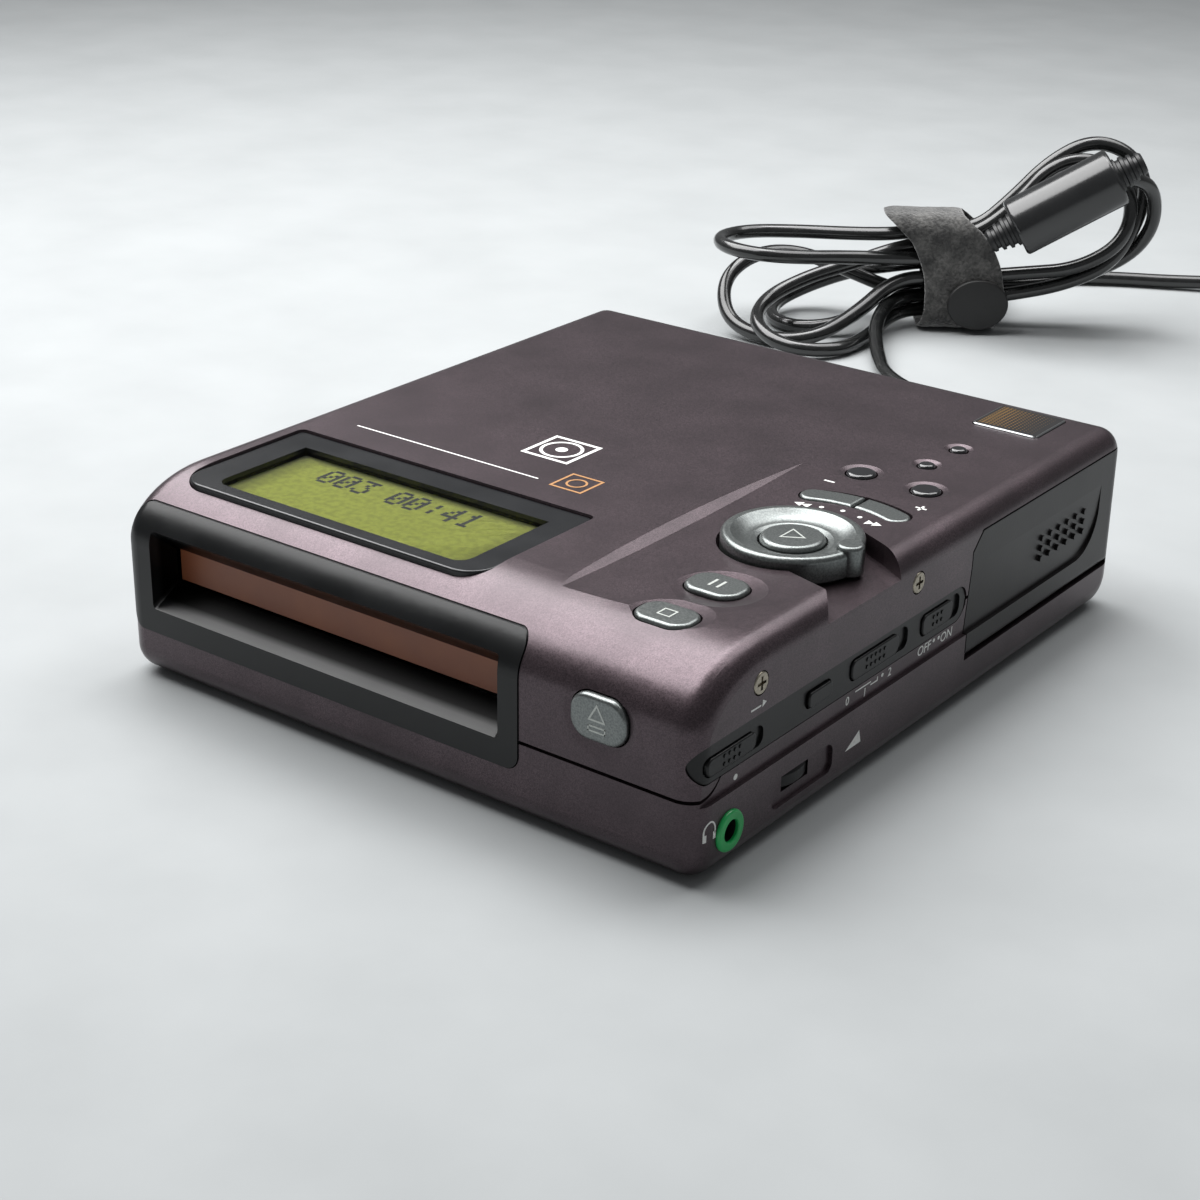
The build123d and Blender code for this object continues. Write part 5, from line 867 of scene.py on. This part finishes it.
# ------------------------------------------------------------------ marks on the keys and the case
class PLAYER_OT_key_marks(bpy.types.Operator):
    """Cuts the signs of the keys in thin light lines"""
    bl_idname = "player.key_marks"
    bl_label = "Key marks"

    def execute(self, context):
        light = ink("engraved_line", "#b9bdb8", 0.3)
        height = context.scene.case_finish.ink_height
        line = 0.28 * mm

        def middle(node, face="top"):
            low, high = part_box(node)
            centre = (low + high) / 2
            if face == "front":
                return centre.x, centre.z, -low.y
            return centre.x, centre.y, high.z

        x, y, z = middle("play_button")
        lay_down([hollow("top", spot_on("top", x, y, z), 2.5 * mm, line, 3, -math.pi / 2)],
                 "play_sign", "top", "play_button", "play_button", light, height)
        x, y, z = middle("pause_button")
        lay_down([bar("top", spot_on("top", x + side * 0.75 * mm, y, z), 0.45 * mm, 2.6 * mm)
                  for side in (-1, 1)],
                 "pause_sign", "top", "pause_button", "pause_button", light, height)
        x, y, z = middle("stop_button")
        lay_down([hollow("top", spot_on("top", x, y, z), 1.7 * mm, line, 4, math.pi / 4)],
                 "stop_sign", "top", "stop_button", "stop_button", light, height)
        x, y, z = middle("eject_button", "front")
        lay_down([hollow("front", spot_on("front", x, y + 0.7 * mm, z), 1.9 * mm, line, 3),
                  bar("front", spot_on("front", x, y - 1.1 * mm, z), 3.2 * mm, 0.24 * mm),
                  bar("front", spot_on("front", x, y - 1.9 * mm, z), 3.2 * mm, 0.24 * mm),
                  bar("front", spot_on("front", x - 1.5 * mm, y - 1.5 * mm, z), 0.24 * mm, 1.0 * mm),
                  bar("front", spot_on("front", x + 1.5 * mm, y - 1.5 * mm, z), 0.24 * mm, 1.0 * mm)],
                 "eject_sign", "front", "eject_button", "eject_button", light, height)
        return {"FINISHED"}


class PLAYER_OT_case_prints(bpy.types.Operator):
    """Prints the white signs and figures on the case"""
    bl_idname = "player.case_prints"
    bl_label = "Case prints"

    def execute(self, context):
        height = context.scene.case_finish.ink_height
        white = ink("white_ink", "#e9e9e6")
        gold = ink("gold_ink", "#b98a5c", 0.4)
        roof = case_high.z

        def top(across, up):
            return spot_on("top", across * mm, up * mm, roof)

        marks = [bar("top", top(32.2, 8.95), 2.0 * mm, 0.42 * mm),
                 bar("top", top(50.5, 7.75), 2.0 * mm, 0.42 * mm),
                 bar("top", top(50.5, 7.75), 0.42 * mm, 2.0 * mm)]
        marks += [disc("top", top(x, y), 1.0 * mm, 3, turn)
                  for x, y, turn in ((33.3, -1.95, math.pi / 2), (34.7, -1.95, math.pi / 2),
                                     (46.9, -2.65, -math.pi / 2), (48.3, -2.65, -math.pi / 2))]
        marks += [disc("top", top(x, y), 0.42 * mm, 16)
                  for x, y in ((37.1, -1.25), (40.8, -0.65), (44.5, -1.45))]
        lay_down(marks, "volume_signs", "top", "top_case", "root", white, height)

        # a plain disc in its square case, where such players carry their mark
        centre = (-11.6, -8.0)
        marks = [hollow("top", top(*centre), 7.2 * mm, 0.7 * mm, 4, math.pi / 4),
                 hollow("top", top(*centre), 3.9 * mm, 0.6 * mm, 40),
                 disc("top", top(*centre), 1.1 * mm, 24)]
        marks += [bar("top", top(-26.6, -21.35), 41.0 * mm, 0.35 * mm)]
        lay_down(marks, "disc_sign", "top", "top_case", "root", white, height)

        marks = [hollow("top", top(0.3, -19.05), 4.75 * mm, 0.45 * mm, 4, math.pi / 4),
                 hollow("top", top(0.3, -19.05), 1.9 * mm, 0.4 * mm, 32)]
        lay_down(marks, "gold_sign", "top", "top_case", "root", gold, height)
        return {"FINISHED"}


class PLAYER_OT_side_prints(bpy.types.Operator):
    """Prints the signs and figures along the side with the switches"""
    bl_idname = "player.side_prints"
    bl_label = "Side prints"

    def execute(self, context):
        height = context.scene.case_finish.ink_height
        white = ink("side_ink", "#dedfdc")
        front_edge = case_low.y

        def side(along, up):
            return spot_on("side", front_edge + along * mm, up * mm, case_high.x)

        upper = [bar("side", side(14.4, 24.4), 2.6 * mm, 0.28 * mm),
                 disc("side", side(16.4, 24.6), 0.7 * mm, 3, -math.pi / 2)]
        lay_down(upper, "hold_sign", "side", "top_case", "root", white, height)
        lower = [lettering("side", side(41.1, 14.9), "0", 1.5 * mm),
                 lettering("side", side(46.3, 14.4), "1", 1.5 * mm),
                 lettering("side", side(53.7, 15.2), "2", 1.5 * mm),
                 lettering("side", side(64.5, 15.25), "OFF", 1.7 * mm),
                 lettering("side", side(71.7, 15.1), "ON", 1.7 * mm)]
        lower += [bar("side", side(45.6, 15.75), 4.6 * mm, 0.22 * mm),
                  bar("side", side(48.9, 15.2), 2.0 * mm, 0.22 * mm),
                  bar("side", side(49.9, 15.5), 0.22 * mm, 0.8 * mm)]
        lower += [disc("side", side(along, up), radius * mm, 16)
                  for along, up, radius in ((10.6, 14.7, 0.5), (51.4, 15.6, 0.34), (67.5, 15.7, 0.34),
                                            (69.1, 15.6, 0.34))]
        # the rising wedge of the volume wheel, turned so that its lower edge lies level
        wedge = disc("side", side(43.2, 7.4), 1.3 * mm, 3, math.pi / 2 + math.radians(14.7), 2.2)
        # a head band with its two ear pieces beside the phones socket
        band_at = 3.7
        band = hollow("side", side(band_at, 8.9), 1.35 * mm, 0.25 * mm, 32, 0.0, 1.25)
        activate(band)
        bpy.ops.object.mode_set(mode="EDIT")
        bpy.ops.mesh.select_all(action="SELECT")
        bpy.ops.mesh.bisect(plane_co=side(band_at, 8.4), plane_no=(0.0, 0.0, 1.0), clear_inner=True)
        bpy.ops.object.mode_set(mode="OBJECT")
        lower += [wedge, band]
        lower += [bar("side", side(band_at + way * 1.05, 8.0), 0.6 * mm, 1.2 * mm) for way in (-1, 1)]
        lay_down(lower, "switch_figures", "side", "bottom_case", "root", white, height)
        return {"FINISHED"}


class PLAYER_OT_badge(bpy.types.Operator):
    """Finishes the small plate at the rear with a plain field of dots"""
    bl_idname = "player.badge"
    bl_label = "Badge"

    def execute(self, context):
        finish_nodes(["badge_plate"], dotted_foil())
        return {"FINISHED"}


# ------------------------------------------------------------------ stage
class PLAYER_OT_stage(bpy.types.Operator):
    """Sets the camera, the two softboxes, the pale floor and the surround"""
    bl_idname = "player.stage"
    bl_label = "Stage"

    def execute(self, context):
        scene = context.scene
        light = scene.studio_light
        bpy.ops.object.camera_add(
            location=(0.21717, -0.29994, 0.17253),
            rotation=tuple(math.radians(a) for a in (65.83591, -0.80096, 37.35937)))
        scene.camera = bpy.context.object
        scene.camera.data.lens = 68.542
        scene.camera.data.sensor_width = 36.0
        scene.camera.data.clip_start = 0.01
        for name, power, side, place in (("key_softbox", light.key_power, 0.6, (-0.28, 0.03, 0.52)),
                                         ("fill_softbox", light.fill_power, 0.45, (0.05, 0.32, 0.58))):
            bpy.ops.object.light_add(type="AREA", location=place)
            lamp = bpy.context.object
            lamp.name = name
            lamp.data.energy = power
            lamp.data.size = side
            aim = Vector((0.0, 0.02, 0.02)) - Vector(place)
            lamp.rotation_euler = aim.to_track_quat("-Z", "Y").to_euler()
        clear_selection()
        bpy.ops.mesh.primitive_plane_add(size=8.0, location=(0.0, 0.0, 0.0))
        floor = settle(bpy.context.object, "studio_floor")
        coat(floor, studio_floor())

        world = bpy.data.worlds.new("surround")
        scene.world = world
        world.use_nodes = True
        tree = world.node_tree
        shown = tree.nodes["Background"]
        shown.inputs["Color"].default_value = linear("#dcdedf")
        even = add_node(tree, "ShaderNodeBackground", {
            "Color": linear("#f4f6f8"), "Strength": light.surround})
        path = add_node(tree, "ShaderNodeLightPath")
        seen = add_node(tree, "ShaderNodeMix", {
            0: path.outputs["Is Camera Ray"], 2: 0.0, 3: 1.0})
        mixed = add_node(tree, "ShaderNodeMixShader", {
            0: seen.outputs[0], 1: even.outputs[0], 2: shown.outputs[0]})
        tree.links.new(mixed.outputs[0], tree.nodes["World Output"].inputs["Surface"])
        scene.view_settings.view_transform = "Standard"
        return {"FINISHED"}


operators = (PLAYER_OT_stage, PLAYER_OT_lead, PLAYER_OT_strap, PLAYER_OT_case_finish,
             PLAYER_OT_inside_finish, PLAYER_OT_display, PLAYER_OT_key_marks, PLAYER_OT_case_prints,
             PLAYER_OT_side_prints, PLAYER_OT_badge)


class PLAYER_PT_panel(bpy.types.Panel):
    """Lists the sizes, colours and steps of the player"""
    bl_idname = "PLAYER_PT_panel"
    bl_label = "Portable disc player"
    bl_space_type = "VIEW_3D"
    bl_region_type = "UI"
    bl_category = "Player"

    def draw(self, context):
        scene = context.scene
        for group in (scene.case_finish, scene.display_finish, scene.lead_size, scene.studio_light):
            for key in group.bl_rna.properties.keys():
                if key not in ("rna_type", "name"):
                    self.layout.prop(group, key)
        for operator in operators:
            self.layout.operator(operator.bl_idname)


groups = {"case_finish": CaseFinish, "display_finish": DisplayFinish, "lead_size": LeadSize,
          "studio_light": StudioLight}


def register():
    for group in groups.values():
        bpy.utils.register_class(group)
    for operator in operators:
        bpy.utils.register_class(operator)
    bpy.utils.register_class(PLAYER_PT_panel)
    for key, group in groups.items():
        setattr(bpy.types.Scene, key, bpy.props.PointerProperty(type=group))


def unregister():
    for key in groups:
        delattr(bpy.types.Scene, key)
    bpy.utils.unregister_class(PLAYER_PT_panel)
    for operator in reversed(operators):
        bpy.utils.unregister_class(operator)
    for group in groups.values():
        bpy.utils.unregister_class(group)


def main():
    register()
    for operator in operators:
        group, name = operator.bl_idname.split(".")
        result = getattr(getattr(bpy.ops, group), name)()
        if result != {"FINISHED"}:
            raise RuntimeError(operator.bl_label + " did not finish")


if __name__ == "__main__":
    main()
